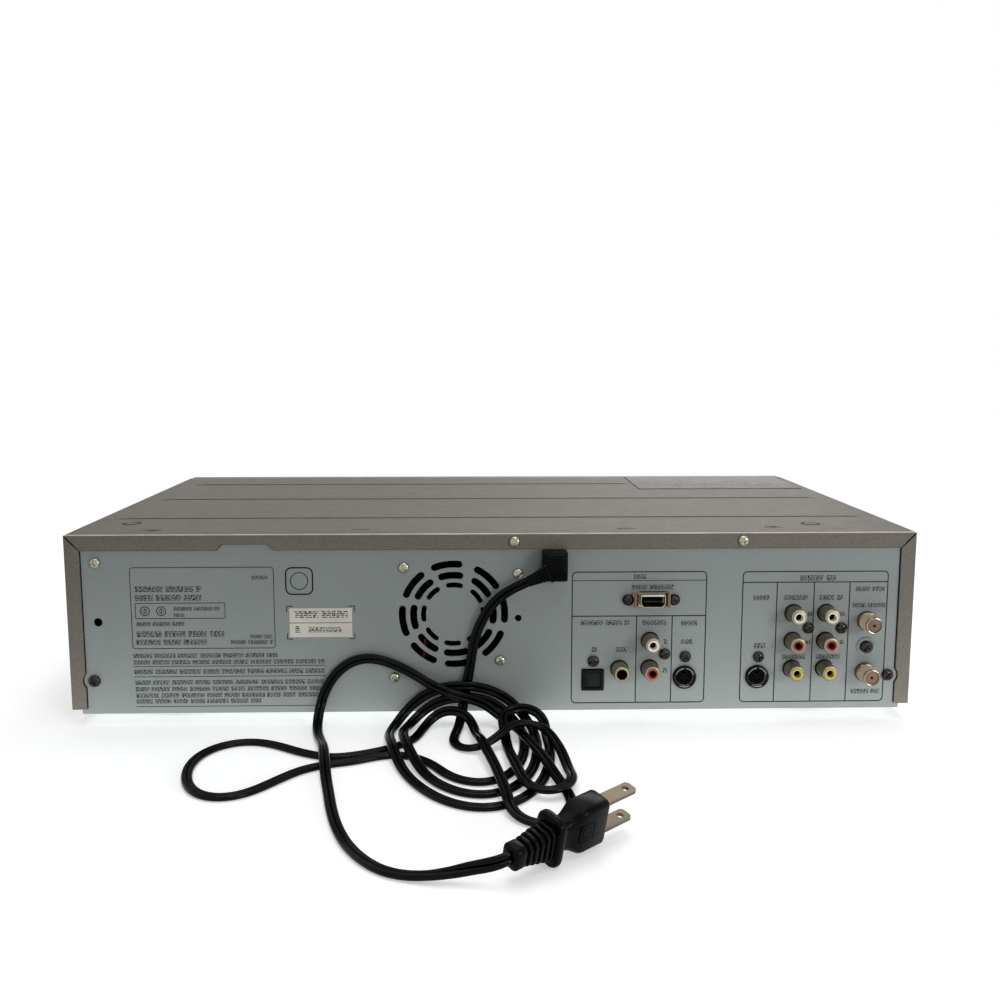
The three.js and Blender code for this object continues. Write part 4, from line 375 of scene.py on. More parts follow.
def box_mesh(x0, x1, y0, y1, z0, z1, bevel=0, segments=3, where=None):
    """A block with rounded edges. where picks the edges to round, by their middle in mm."""
    work = bmesh.new()
    bmesh.ops.create_cube(work, size=1)
    for vertex in work.verts:
        vertex.co = Vector((
            (x0 + x1) / 2 + vertex.co.x * (x1 - x0), (y0 + y1) / 2 + vertex.co.y * (y1 - y0),
            (z0 + z1) / 2 + vertex.co.z * (z1 - z0))) * MM
    if bevel:
        edges = [e for e in work.edges
                 if where is None or where((e.verts[0].co + e.verts[1].co) / 2 / MM)]
        bmesh.ops.bevel(work, geom=edges, offset=bevel * MM, segments=segments, profile=0.5,
                        affect="EDGES", clamp_overlap=True)
    return closed(work)


def block(x, z, half_x, half_z, y0, y1, bevel=0, segments=3):
    """A block about a middle line that runs along y."""
    return box_mesh(x - half_x, x + half_x, y0, y1, z - half_z, z + half_z, bevel, segments)


TURN = {
    "y": Matrix(((1, 0, 0), (0, 0, 1), (0, -1, 0))).to_4x4(),
    "z": Matrix.Identity(4),
}


def turned_mesh(points, faces, at, axis):
    place = Matrix.Translation(Vector(at)) @ TURN[axis]
    return mesh_of([place @ Vector(p) for p in points], faces)


def lathe_mesh(profile, at, axis="y", sides=40):
    """Turns (radius, place along the axis) pairs round an axis through at. The ends are closed."""
    points = []
    faces = []
    rings = []
    for radius, along in profile:
        count = sides if radius > 0 else 1
        rings.append([len(points) + i for i in range(count)])
        points.extend((*spot, along) for spot in outline_circle(0, 0, radius, count))
    for a, b in zip(rings, rings[1:]):
        for i in range(sides):
            j = (i + 1) % sides
            if len(a) == 1:
                faces.append((a[0], b[i], b[j]))
            elif len(b) == 1:
                faces.append((a[i], b[0], a[j]))
            else:
                faces.append((a[i], b[i], b[j], a[j]))
    faces += [tuple(ring) for ring in (rings[0], rings[-1]) if len(ring) > 1]
    return turned_mesh(points, faces, at, axis)


def ring_mesh(profile, at, axis="y", sides=40):
    """A closed ring: the profile is a loop of (radius, place along the axis)."""
    points = []
    faces = []
    count = len(profile)
    for i in range(sides):
        angle = 2 * math.pi * i / sides
        points.extend((radius * math.cos(angle), radius * math.sin(angle), along) for radius, along in profile)
        j = (i + 1) % sides
        for k in range(count):
            m = (k + 1) % count
            faces.append((i * count + k, i * count + m, j * count + m, j * count + k))
    return turned_mesh(points, faces, at, axis)


def bar_mesh(x, z, radius, y0, y1, sides=28):
    return lathe_mesh([(radius, y0), (radius, y1)], (x, 0, z), "y", sides)


def outline_round(x, z, half_x, half_z, radius, steps=5):
    points = []
    for sx, sz, first in ((1, 1, 0), (-1, 1, 90), (-1, -1, 180), (1, -1, 270)):
        for i in range(steps + 1):
            angle = math.radians(first + 90 * i / steps)
            points.append((x + sx * (half_x - radius) + radius * math.cos(angle),
                           z + sz * (half_z - radius) + radius * math.sin(angle)))
    return points


def outline_circle(x, z, radius, steps=28):
    return [(x + radius * math.cos(2 * math.pi * i / steps), z + radius * math.sin(2 * math.pi * i / steps))
            for i in range(steps)]


def plate_mesh(outlines, low, high, bevel=0.0):
    """A plate with holes, from outlines in x and z, that runs along y from low to high."""
    curve = bpy.data.curves.new("plate", "CURVE")
    curve.dimensions = "2D"
    curve.fill_mode = "BOTH"
    curve.extrude = (high - low) / 2 * MM - bevel * MM
    curve.bevel_depth = bevel * MM
    curve.bevel_resolution = 1
    curve.offset = -bevel * MM
    for outline in outlines:
        spline = curve.splines.new("POLY")
        spline.points.add(len(outline) - 1)
        for point, (a, b) in zip(spline.points, outline):
            point.co = (a * MM, b * MM, 0, 1)
        spline.use_cyclic_u = True
    holder = add_object("plate", curve)
    bpy.context.view_layer.update()
    mesh = bpy.data.meshes.new_from_object(holder)
    bpy.data.objects.remove(holder)
    turn = Matrix(((1, 0, 0), (0, 0, -1), (0, 1, 0))).to_4x4()
    mesh.transform(Matrix.Translation((0, (low + high) / 2 * MM, 0)) @ turn)
    work = opened(mesh)
    bmesh.ops.remove_doubles(work, verts=work.verts, dist=1e-6)
    bmesh.ops.recalc_face_normals(work, faces=work.faces)
    return closed(work, mesh)


def cut_mesh(mesh, cutters):
    """The mesh less each cutter."""
    body = add_object("cut", mesh)
    holders = [body]
    for cutter in cutters:
        modifier = body.modifiers.new("cut", "BOOLEAN")
        modifier.operation = "DIFFERENCE"
        modifier.solver = "EXACT"
        modifier.object = add_object("cutter", cutter)
        holders.append(modifier.object)
    bpy.context.view_layer.update()
    graph = bpy.context.evaluated_depsgraph_get()
    out = bpy.data.meshes.new_from_object(body.evaluated_get(graph), depsgraph=graph)
    for holder in holders:
        bpy.data.objects.remove(holder)
    return out


def loft_mesh(sections, place, steps=4):
    """Rounded oblongs in a row along the local y: (y, half width, half height, corner)."""
    points = []
    for y, half_x, half_z, corner in sections:
        corner = min(corner, half_x, half_z)
        points.extend(place @ Vector((a, y, b)) for a, b in outline_round(0, 0, half_x, half_z, corner, steps))
    return mesh_of(points, skinned(len(sections), 4 * (steps + 1)))


def tube_mesh(path, radius, sides=10):
    """A round wire along points."""
    line = np.array(path, float)
    verts = []
    count = len(line)
    up = np.array((0.13, 0.31, 0.94))
    for i, at in enumerate(line):
        tangent = line[min(i + 1, count - 1)] - line[max(i - 1, 0)]
        tangent /= np.linalg.norm(tangent)
        across = np.cross(tangent, up)
        across /= np.linalg.norm(across)
        up = np.cross(across, tangent)
        verts.extend(at + a * across + b * up for a, b in outline_circle(0, 0, radius, sides))
    return mesh_of(verts, skinned(count, sides))


# Mains cord: the same route as the solid, over a sheet that runs down the panel and along the
# floor. The strands settle so that each lies clear of the one under it.
CORD_REST = 1.45
CORD_LAYER = 3.3
CORD_CORNER = 16
CORD_STEP = 2.5
CORD_SLOPE = 0.45
CORD_SKIP = 14
CORD_REACH = 6.2
CORD_TOUCH = 5.6
CORD_SOFTENING = 2
CORD_PASSES = 4
SETTLE_ROUNDS = 60
CORD_EASING = 5
CORD_RING_STEP = 1.3
STRAND = 1.34
STRAND_PITCH = 1.25
TWIST_LENGTH = 34
PLUG_TWIST = 76
WALL_RUN = CORD_CORNER * (1 - math.pi / 2)
FLOOR = CORD_REST
OVER_1 = CORD_REST + CORD_LAYER
OVER_2 = CORD_REST + 2 * CORD_LAYER


def with_height(*places):
    """Places (across, along the sheet, height). One without a height lies on the floor."""
    return [(*place, FLOOR)[:3] for place in places]


LEAD_ROUTE = with_height(
    (-17.6, -69.3, 7.6), (-12.5, -66.9, 6.8), (-4, -61.7, 5.2), (1.5, -56.3, 3.8), (5.2, -50.2, 2.7),
    (8.3, -43.4, 2), (10.5, -37, 1.6), (11.8, -29), (13, -20), (14.8, -12), (16, -4), (18, 10), (20.2, 24),
    (20.6, 34), (17.4, 41.4), (10, 44.8), (2.6, 41.4), (-2.8, 37), (-6.6, 31, OVER_1), (-11.4, 27, OVER_2),
    (-17.4, 26, OVER_2), (-23.4, 29.4, OVER_2), (-27, 37, OVER_1), (-29.6, 48), (-31.4, 60), (-32.5, 74),
    (-32.7, 86, OVER_1), (-29.6, 95.6, OVER_1), (-21.8, 100), (-14.2, 96.4, OVER_1), (-10.8, 87, OVER_1),
    (-8.9, 75, OVER_1), (-7.3, 64, OVER_1), (-6, 52), (-5, 38), (-4, 24), (-4, 12, OVER_1),
    (-7.4, 3.9, OVER_1), (-14.9, 0.6, OVER_1), (-22.4, 3.9, OVER_1), (-25.6, 12),
)
TAIL_ROUTE = with_height(
    (37, 54.5), (44, 50), (52, 50), (60, 53.2), (67, 57.2), (78, 60.5), (89, 66.5), (98, 77.5), (105.5, 88),
    (112.5, 94.6), (120.5, 97), (128.5, 94.2), (135, 86.8), (139.6, 76), (142, 62), (140.5, 48),
    (134.5, 37), (126, 31.4), (117, 31), (107, 35.5), (92, 46), (78, 51.8), (66.5, 49.2), (60, 46.2),
    (53.5, 42.5), (46, 36.5), (40.6, 29.5), (38, 21), (35.8, 12.6), (31.4, 5.2), (23.8, 1.4, OVER_1),
    (16, 4.2, OVER_1), (11.6, 12.8), (9.6, 26), (8, 38, OVER_1), (6.2, 47, OVER_1), (3.8, 58, OVER_1),
    (1.8, 68, OVER_1), (0, 80, OVER_1), (-1.8, 92.6, OVER_1), (-3.2, 104, OVER_1), (-4.8, 115.4),
    (-9.6, 123.3), (-17.2, 126.4), (-24.9, 123.2), (-29.6, 115), (-30.8, 105), (-29.4, 93), (-26, 82),
    (-23.2, 70), (-20.6, 58.5, OVER_1), (-17.7, 47, OVER_1), (-14.7, 36.4, OVER_1), (-11.5, 26.5, OVER_1),
    (-7.6, 17, OVER_1), (-2.6, 8, OVER_1), (2.8, 0.6, OVER_1), (9, -4.8, OVER_2), (16, -8.4, OVER_2),
    (24.6, -11.4, OVER_2), (33, -14.8, OVER_1), (40.6, -19), (48.3, -23), (56.5, -26.4), (64, -28),
    (72, -26.8), (81, -20.6), (87.8, -10), (90.6, 3.8), (89.5, 17), (86, 31.2), (83, 44, OVER_1),
    (80.2, 60, OVER_1), (77.4, 76), (73.9, 93), (70.5, 110), (66.2, 126.6), (60.5, 142), (53, 155),
    (44.7, 164), (35.8, 168.6), (26.6, 170.6, 2.4), (18, 171.8, 4.4), (10.6, 172.6, 6.6),
)

COIL_TURNS = 2.38
COIL_STEPS = 28
COIL_MIDDLE = (15.55, -0.45)
COIL_HALF_WIDTH = (40.85, -6.35)
COIL_BACK = (40.7, -6.6)
COIL_FRONT = (91.3, -13.25)
COIL_RUN = 22
COIL_LEAN = 0.09


def on_sheet(place):
    x, run, height = place
    if run >= CORD_CORNER:
        return np.array((x, PANEL_OUT + run, height))
    if run < WALL_RUN:
        return np.array((x, PANEL_OUT + height, CORD_CORNER + WALL_RUN - run))
    turn = (CORD_CORNER - run) / CORD_CORNER
    radius = CORD_CORNER - height
    return np.array((x, PANEL_OUT + CORD_CORNER - radius * math.sin(turn),
                     CORD_CORNER - radius * math.cos(turn)))


def off_sheet(point):
    back = max(0, CORD_CORNER - (point[1] - PANEL_OUT))
    rise = max(0, CORD_CORNER - point[2])
    out = np.array((0, back, rise)) if back + rise > 0 else np.array((0, 0, 1.0))
    return out / np.linalg.norm(out)


def coil_route():
    count = round(COIL_TURNS * COIL_STEPS)
    places = []
    for i in range(count + 1):
        turn = i / count * COIL_TURNS
        angle = 2 * math.pi * turn
        to_front = math.sin(angle) > 0
        start, change = COIL_FRONT if to_front else COIL_BACK
        offset = math.sin(angle) * (start + change * turn)
        lean = COIL_LEAN * offset if to_front else 0
        half = COIL_HALF_WIDTH[0] + COIL_HALF_WIDTH[1] * turn
        x = COIL_MIDDLE[0] + COIL_MIDDLE[1] * turn - half * math.cos(angle) - lean
        run = COIL_RUN + offset
        over = (run < 0 and abs(x - 15) < 9) or (x > 38 and 34 < run < 60)
        places.append((x, run, OVER_1 if over else FLOOR))
    return places


class Smooth:
    """A centripetal curve through points, with even steps along it."""

    def __init__(self, points, fine):
        self.points = np.array(points, float)
        last = len(self.points) - 1
        self.times = np.linspace(0, last, fine * last + 1)
        places = np.array([self.at(t) for t in self.times])
        self.lengths = np.concatenate(([0], np.cumsum(np.linalg.norm(np.diff(places, axis=0), axis=1))))
        self.length = self.lengths[-1]

    def at(self, t):
        p = self.points
        last = len(p) - 1
        i = min(int(t), last - 1)
        w = t - i
        p1, p2 = p[i], p[i + 1]
        p0 = p[i - 1] if i > 0 else 2 * p[0] - p[1]
        p3 = p[i + 2] if i + 2 <= last else 2 * p[last] - p[last - 1]
        d0, d1, d2 = (float(np.dot(b - a, b - a)) ** 0.25 for a, b in ((p0, p1), (p1, p2), (p2, p3)))
        d1 = d1 if d1 > 1e-4 else 1.0
        d0 = d0 if d0 > 1e-4 else d1
        d2 = d2 if d2 > 1e-4 else d1
        t1 = ((p1 - p0) / d0 - (p2 - p0) / (d0 + d1) + (p2 - p1) / d1) * d1
        t2 = ((p2 - p1) / d1 - (p3 - p1) / (d1 + d2) + (p3 - p2) / d2) * d1
        return p1 + t1 * w + (3 * (p2 - p1) - 2 * t1 - t2) * w ** 2 + (2 * (p1 - p2) + t1 + t2) * w ** 3

    def steps(self, count):
        wanted = np.linspace(0, self.length, count + 1)
        return np.array([self.at(t) for t in np.interp(wanted, self.lengths, self.times)])


def settled(places):
    apart = math.ceil(CORD_SKIP / CORD_STEP)
    flat = places[:, :2]
    distance = np.linalg.norm(flat[:, None] - flat[None], axis=2)
    groups = {}
    crossings = []
    for i, j in zip(*np.nonzero(np.triu(distance < CORD_REACH, apart))):
        i, j = int(i), int(j)
        near = None
        for di, dj in ((-1, 0), (0, -1), (-1, -1), (-1, 1), (-2, 0), (-2, -1), (-2, 1)):
            near = groups.get((i + di, j + dj))
            if near:
                break
        if not near:
            near = {"pairs": [], "closest": math.inf, "over": False}
            crossings.append(near)
        near["pairs"].append((i, j))
        if distance[i, j] < near["closest"]:
            near["closest"] = distance[i, j]
            near["over"] = places[j, 2] >= places[i, 2]
        groups[(i, j)] = near
    crossings = [c for c in crossings if c["closest"] < CORD_TOUCH]
    heights = [max(h, CORD_REST) for h in places[:, 2]]
    climb = CORD_SLOPE * CORD_STEP
    count = len(heights)
    for _ in range(SETTLE_ROUNDS):
        for crossing in crossings:
            for i, j in crossing["pairs"]:
                under, over = (i, j) if crossing["over"] else (j, i)
                heights[over] = max(heights[over], heights[under] + CORD_LAYER)
        for i in range(1, count):
            heights[i] = max(heights[i], heights[i - 1] - climb)
        for i in range(count - 2, -1, -1):
            heights[i] = max(heights[i], heights[i + 1] - climb)
    soft = []
    for i in range(count):
        half = min(CORD_SOFTENING, i, count - 1 - i)
        soft.append(float(np.mean(heights[i - half:i + half + 1])))
    for _ in range(CORD_PASSES):
        inner = [float(np.mean(soft[i - 2:i + 3])) for i in range(2, count - 2)]
        soft = [*soft[:2], *inner, *soft[-2:]]
    return np.column_stack((flat, soft))


# The plug's own frame: +Y runs from the end of its strain relief to the tips of the blades
def plug_frame():
    turn = (Matrix.Rotation(math.radians(129.7), 3, "Z") @ Matrix.Rotation(math.radians(3), 3, "X")
            @ Matrix.Rotation(math.radians(14), 3, "Y"))
    x, y = -1.9, PANEL_OUT + 172.6
    row = turn.transposed()[2]
    levels = [row.dot(v.co / MM) for v in nodes["plug_body"].data.vertices]
    middle = (min(levels) + max(levels)) / 2
    z = (middle - row.x * x - row.y * y) / row.z
    place = turn.to_4x4()
    place.translation = Vector((x, y, z))
    return place


PLUG = plug_frame()
RELIEF = 18
COLLAR = 4
PLUG_BODY = 19
AHEAD = np.array(PLUG.to_3x3() @ Vector((0, 1, 0)))


def cord_points():
    plug_at = np.array(PLUG.translation)
    into = []
    for back in (4, 0.3):
        at = plug_at - AHEAD * back
        into.append((at[0], at[1] - PANEL_OUT, at[2]))
    route = [*LEAD_ROUTE, *coil_route(), *TAIL_ROUTE, *into]
    curve = Smooth(route, 40)
    places = curve.steps(round(curve.length / CORD_STEP))
    points = np.array([on_sheet(place) for place in settled(places)])
    for _ in range(CORD_EASING):
        points[1:-1] = (points[:-2] + 2 * points[1:-1] + points[2:]) / 4
    return points


def make_cord():
    points = cord_points()
    start = points[0] - 3 * (points[1] - points[0]) / np.linalg.norm(points[1] - points[0])
    points = np.vstack((start, points, points[-1] + 3 * AHEAD))
    curve = Smooth(points, 4)
    rings = round(curve.length / CORD_RING_STEP)
    line = curve.steps(rings)
    profile = []
    for side in (1, -1):
        for angle in np.radians(np.linspace(-150, 150, 11)) * side:
            profile.append((STRAND * math.sin(angle) * side,
                            side * (STRAND_PITCH + STRAND * math.cos(angle)) * 1.004))
    verts = []
    for i, at in enumerate(line):
        tangent = line[min(i + 1, rings)] - line[max(i - 1, 0)]
        tangent /= np.linalg.norm(tangent)
        done = i / rings * curve.length
        share = min(1, max(0, (done - curve.length + TWIST_LENGTH + 3) / TWIST_LENGTH))
        turn = math.radians(PLUG_TWIST) * share * share * (3 - 2 * share)
        out = np.array(Matrix.Rotation(turn, 3, Vector(tangent)) @ Vector(off_sheet(at)))
        across = np.cross(tangent, out)
        across /= np.linalg.norm(across)
        normal = np.cross(across, tangent)
        verts.extend(at + normal * thick + across * wide for thick, wide in profile)
    flex = finish_mesh("mains_flex", dyed(CORD, mesh_of(verts, skinned(rings + 1, len(profile)))), smooth=60)
    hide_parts("mains_cord_lead", "mains_cord_coil", "mains_cord_tail")
    return flex, [list(p * MM) for p in points], curve.length


flex, flex_path, flex_length = make_cord()


def disc_sections(y0, y1, half_x, half_z, corner, soft=0.5):
    """A block of a loft with softened rims."""
    most = soft * 0.3
    return [(y0, half_x - soft, half_z - soft, corner), (y0 + most, half_x - most, half_z - most, corner),
            (y0 + soft, half_x, half_z, corner), (y1 - soft, half_x, half_z, corner),
            (y1 - most, half_x - most, half_z - most, corner), (y1, half_x - soft, half_z - soft, corner)]


PLUG_NECK = [(4.2, 4.9, 7.4, 3.6), (5.4, 4.2, 6.4, 3.2), (7.5, 4.2, 6.6, 3.2), (10, 4.5, 7.4, 3),
             (12.2, 5, 8.6, 2.8), (14.2, 5.4, 9.7, 2.5), (15.8, 5.5, 10, 2.3)]
PLUG_MARK = RELIEF + COLLAR + 12.7
PLUG_FACE = 5.5


def make_plug():
    """A ribbed relief, a collar, and a neck that widens to the body."""
    start, end, cap, ribs = (4.2, 4.7), (5.25, 7.25), 5, 5
    pitch = (RELIEF - cap) / ribs
    sections = disc_sections(0, cap, *start, 2.4, 0.7)
    for i in range(ribs):
        inner = [a + (b - a) * (i + 0.4) / ribs - 0.9 for a, b in zip(start, end)]
        outer = [a + (b - a) * (i + 1) / ribs for a, b in zip(start, end)]
        y0 = cap + (i + 0.3) * pitch
        sections += [(y0 - 0.2 * pitch, *inner, 2), (y0 - 0.1, *inner, 2)]
        sections += disc_sections(y0, cap + (i + 1) * pitch, *outer, 3, 0.4)
    sections += disc_sections(RELIEF + 0.2, RELIEF + COLLAR - 0.2, 6.75, 10.5, 4, 1)
    face = RELIEF + COLLAR + 5 + PLUG_BODY
    sections += [(RELIEF + ahead, *size) for ahead, *size in PLUG_NECK]
    sections += [(face - 1.4, 5.5, 10, 2.2), (face - 0.4, 5.1, 9.6, 2.2), (face, 4.4, 8.9, 2.2)]
    return loft_mesh(sections, PLUG, 5)


def square_frame(half, width, rise, place):
    """A raised square line on the wide face of the plug."""
    bars = []
    place = place.copy()
    place.translation = place.translation * MM
    low, high = PLUG_FACE - 0.3, PLUG_FACE + rise
    for a in (-half, half):
        near, far = a - width / 2, a + width / 2
        bars.append(box_mesh(low, high, PLUG_MARK - half, PLUG_MARK + half, near, far, 0.12, 2))
        bars.append(box_mesh(low, high, PLUG_MARK + near, PLUG_MARK + far, -half, half, 0.12, 2))
    for bar in bars:
        bar.transform(place)
    return bars


plug_parts = [make_plug()]
for turned in (PLUG, PLUG @ Matrix.Rotation(math.pi, 4, "Y")):
    plug_parts += square_frame(3.7, 0.4, 0.16, turned) + square_frame(2.2, 0.3, 0.12, turned)
plug = finish_mesh("plug_moulding", dyed(RUBBER, *plug_parts), smooth=32)
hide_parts("plug_body")


# Bushing of the cord in the panel
BUSHING_X, BUSHING_Z = -30.6, down(16)


def make_bushing():
    """A square head against the panel, and a ribbed snout that comes out of its lower corner."""
    x, z = BUSHING_X, BUSHING_Z
    parts = [
        block(x, z, 6.5, 7.7, PANEL_OUT + 0.3, PANEL_OUT + 8.6, 1.1, 4),
        box_mesh(x - 5.6, x + 5.6, PANEL_OUT + 8, PANEL_OUT + 10.4, z - 3.2, z + 6.9, 1.1, 4),
        block(x, z, 4.2, 4.2, PANEL_IN - 6, PANEL_OUT + 2, 0.3),
        block(x, z, 6.2, 6.2, PANEL_IN - 5.3, PANEL_IN - 0.3, 0.5),
    ]
    first, second = Vector(on_sheet(LEAD_ROUTE[0])), Vector(on_sheet(LEAD_ROUTE[1]))
    leave = (second - first).normalized()
    side = leave.cross(Vector((0, 0, 1))).normalized()
    place = Matrix((side, leave, side.cross(leave))).transposed().to_4x4()
    place.translation = first
    sections = [(-12, 4.3, 4.9, 2.4), (-10.6, 4.5, 5.1, 2.4)]
    for i in range(3):
        y, slim = -10.4 + i * 1.9, 0.25 * i
        sections += [(y, 3.1 - slim, 3.6 - slim, 1.7), (y + 0.4, 3.1 - slim, 3.6 - slim, 1.7)]
        sections += disc_sections(y + 0.5, y + 1.7, 3.4 - slim, 3.9 - slim, 1.9, 0.35)
    sections += [(-4.6, 2.3, 3.2, 1.6), (-2, 1.8, 2.9, 1.4), (0.8, 1.45, 2.68, 1.3)]
    parts.append(loft_mesh(sections, place))
    # Ribs of the relief, which curl over the head from its lower corner
    for reach, last in ((3.6, -5), (5.3, -5), (7, -5), (8.7, -5), (10.6, 52)):
        path = []
        for i in range(21):
            angle = math.radians(98 + (last - 98) * i / 20)
            path.append((x + 3.2 - reach * math.cos(angle) * 0.98,
                         PANEL_OUT + 10.35 - 0.6 * abs(i / 10 - 1) ** 4, z - 5.6 + reach * math.sin(angle)))
        parts.append(tube_mesh(path, 0.55, 8))
    return dyed(RUBBER, *parts)


bushing = finish_mesh("bushing_moulding", make_bushing())
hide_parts("cord_bushing")
exit_point = [float(c) for c in on_sheet(LEAD_ROUTE[0]) * MM]
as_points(flex_path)


# Top cover: one folded sheet
COVER_BOTTOM = TOP - 91.1
SHEET = 0.8
WINDOW_HALF = 209.9
LIP_CUT = (127, 130)
BULGE_X, BULGE_Z, BULGE_RADIUS = 205.9, down(76), 5.2
LIP_SCREWS = [(-10.4, 4.2, 40), (-127.7, 4.2, 10)]
COVER_DIMPLES = [(194.3, COVER_REAR - 37, 4.6), (-170.7, COVER_REAR - 27.9, 4.6)]
COVER_RIDGES = [(-207, 207, 54), (-206, 206, 132), (-99, 204, 207)]


def on_fold(m):
    """True for the folds of the cover: along three sides of the top and down the rear corners."""
    gaps = abs(abs(m.x) - HALF_WIDTH), abs(m.z - TOP), abs(m.y - COVER_REAR)
    return sum(gap < 0.1 for gap in gaps) > 1


def lip_cut(places):
    """A cutter through the rear lip, from places (across, drop)."""
    return plate_mesh([[(x, down(drop)) for x, drop in places]], *LIP_CUT)


def make_cover():
    outside = box_mesh(-HALF_WIDTH, HALF_WIDTH, COVER_FRONT, COVER_REAR, COVER_BOTTOM, TOP, 0.75, 4, on_fold)
    inner = HALF_WIDTH - SHEET
    low = COVER_BOTTOM - 3
    cutters = [
        box_mesh(-inner, inner, COVER_FRONT - 3, COVER_REAR - SHEET, low, TOP - SHEET, 0.4, 2),
        box_mesh(-WINDOW_HALF, WINDOW_HALF, 125, 131, low, down(8)),
    ]
    for side in (1, -1):
        cutters += [
            lip_cut([(side * x, drop) for x, drop in ((209.3, 7.9), (209.9, 8.5), (217.1, 1.2), (216.5, 0.6))]),
            bar_mesh(side * BULGE_X, BULGE_Z, BULGE_RADIUS + 0.2, *LIP_CUT),
            box_mesh(side * 69.5 - 4.8, side * 69.5 + 4.8, 113.1, 114.7, 97, 101),
        ]
    cutters.append(lip_cut([(112.2, 9), (141, 9), (141, 8), (138.1, 4.9), (115.1, 4.9), (112.2, 8)]))
    cutters += [bar_mesh(x, down(drop), 1.7, *LIP_CUT, 16) for x, drop, _ in LIP_SCREWS]
    cutters += [box_mesh(x - 4.4, x + 4.4, 112.9, 113.9, 99.25, 101) for x in (180, -148)]
    cutters += [lathe_mesh([(radius, -0.28), (radius, 0.5)], (x, y, TOP), "z", 32)
                for x, y, radius in COVER_DIMPLES]
    hems = [box_mesh(x0, x1, COVER_FRONT + 0.2, 128.1, COVER_BOTTOM, COVER_BOTTOM + 0.8, 0.3, 2)
            for x0, x1 in ((212.6, 217.1), (-217.1, -212.6))]
    return dyed(PAINT, cut_mesh(outside, cutters), *hems)


def crease_mesh(x0, x1, y):
    """A pressed crease across the top: a low step that fades out and bends back at its ends."""
    profile = [(-0.5, -0.05), (-0.3, 0.25), (0, 0.85), (0.22, 1), (0.34, 0.9), (0.4, 0.1), (0.4, -0.05)]
    width, height, taper, steps = 2.2, 0.5, 7, 8
    stops = [(x0 + taper * i / steps, i / steps) for i in range(steps)]
    stops += [(x1 - taper * i / steps, i / steps) for i in reversed(range(steps))]
    points = []
    for x, share in stops:
        rise = height * (0.04 + 0.96 * math.sin(share * math.pi / 2))
        bend = 3.5 * (1 - share) ** 2
        points.extend((x, y + bend + a * width, TOP - 0.02 + b * rise) for a, b in profile)
    return mesh_of(points, skinned(len(stops), len(profile)))


def flat_ring(inner, outer, low, high, at, axis="y", sides=40):
    return ring_mesh([(inner, low), (outer, low), (outer, high), (inner, high)], at, axis, sides)


def make_cover_marks():
    pressed = [crease_mesh(x0, x1, COVER_REAR - back) for x0, x1, back in COVER_RIDGES]
    dark = []
    for x, y, radius in COVER_DIMPLES:
        pressed.append(lathe_mesh([(radius - 0.7, -0.35), (radius - 0.9, 0.12), (radius - 1.6, 0.3), (0, 0.3)],
                                  (x, y, TOP), "z", 32))
        # Painted shade: a dark ring round each dimple's rim and a dark bar inside it, where the dimple lies in
        # shade.
        dark.append(flat_ring(radius, radius + 0.5, -0.1, 0.05, (x, y, TOP), "z", 36))
        dark.append(box_mesh(x - 3, x + 1, y - 1.4, y - 0.4, TOP - 0.3, TOP + 0.34, 0.1))
    for x, back, radius, shade_bar in ((-147.4, 17.4, 4, 1), (-180.2, 13.4, 3.6, 0), (176, 14, 3.8, 1)):
        y = COVER_REAR - back
        pressed.append(lathe_mesh([(radius, -0.05), (radius - 0.5, 0.14), (radius - 1.1, 0.2),
                                   (radius - 1.9, 0.12), (radius - 2.4, 0.02), (0, 0.02)],
                                  (x, y, TOP), "z", 32))
        # Painted shade: a dark bar across some pressings, where their slope lies in shade.
        if shade_bar:
            dark.append(box_mesh(x - radius, x + radius, y - 0.5, y + 0.6, TOP - 0.1, TOP + 0.24, 0.1))
    return dyed(PAINT, *pressed) + dyed(DULL_BLACK_AND_SHADE, *dark)


cover = finish_mesh("cover_skin", make_cover(), smooth=40)
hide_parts("top_cover")
finish_mesh("cover_pressings_and_shade", make_cover_marks(), smooth=50)


# Rear panel
GRILLE_X, GRILLE_Z = 21, down(42.2)
GRILLE_RINGS = [(26.3, 3.6, 0.243, 0.134), (20.5, 3.6, 0.232, 0.068), (15.4, 2.6, 0.198, -0.035)]


def grille_slot(ring, width, reach, turn, sector):
    """An arc of constant width with round ends, anticlockwise from its low end."""
    middle = turn + sector * math.pi / 4 - (0.08 if sector == 7 else 0)
    half = width / 2

    def at(radius, angle):
        return GRILLE_X + radius * math.sin(angle), GRILLE_Z + radius * math.cos(angle)

    outline = [at(ring + half, middle - reach + 2 * reach * i / 12) for i in range(13)]
    for end, sign in ((middle + reach, 1), (middle - reach, -1)):
        x, z = at(ring, end)
        for i in range(1, 8):
            angle = math.pi * i / 8
            out, along = half * math.cos(angle) * sign, half * math.sin(angle) * sign
            outline.append((x + out * math.sin(end) + along * math.cos(end),
                            z + out * math.cos(end) - along * math.sin(end)))
        if sign > 0:
            outline += [at(ring - half, middle + reach - 2 * reach * i / 12) for i in range(13)]
    return outline


# Columns of phono sockets: the place across, then the drop and the kind of each
PHONO = {
    "av_in_jacks": (-155.2, (42.5, "white"), (57.3, "red"), (72.1, "yellow")),
    "av_out_jacks": (-172.3, (42.5, "white"), (57.3, "red"), (72.1, "yellow")),
    "dvd_audio_jacks": (-80.7, (56.8, "white"), (71.5, "red")),
    "coax_jack": (-65, (71.7, "coaxial")),
}
AERIAL = [(-193.8, 46.9), (-193.8, 74.3)]
S_VIDEO = [(-137.2, 76.4), (-99.1, 76.4)]
OPTICAL_X, OPTICAL_Z = -51.2, down(77.5)
PANEL_FOOT, PANEL_HEAD = 5.7, 98.4


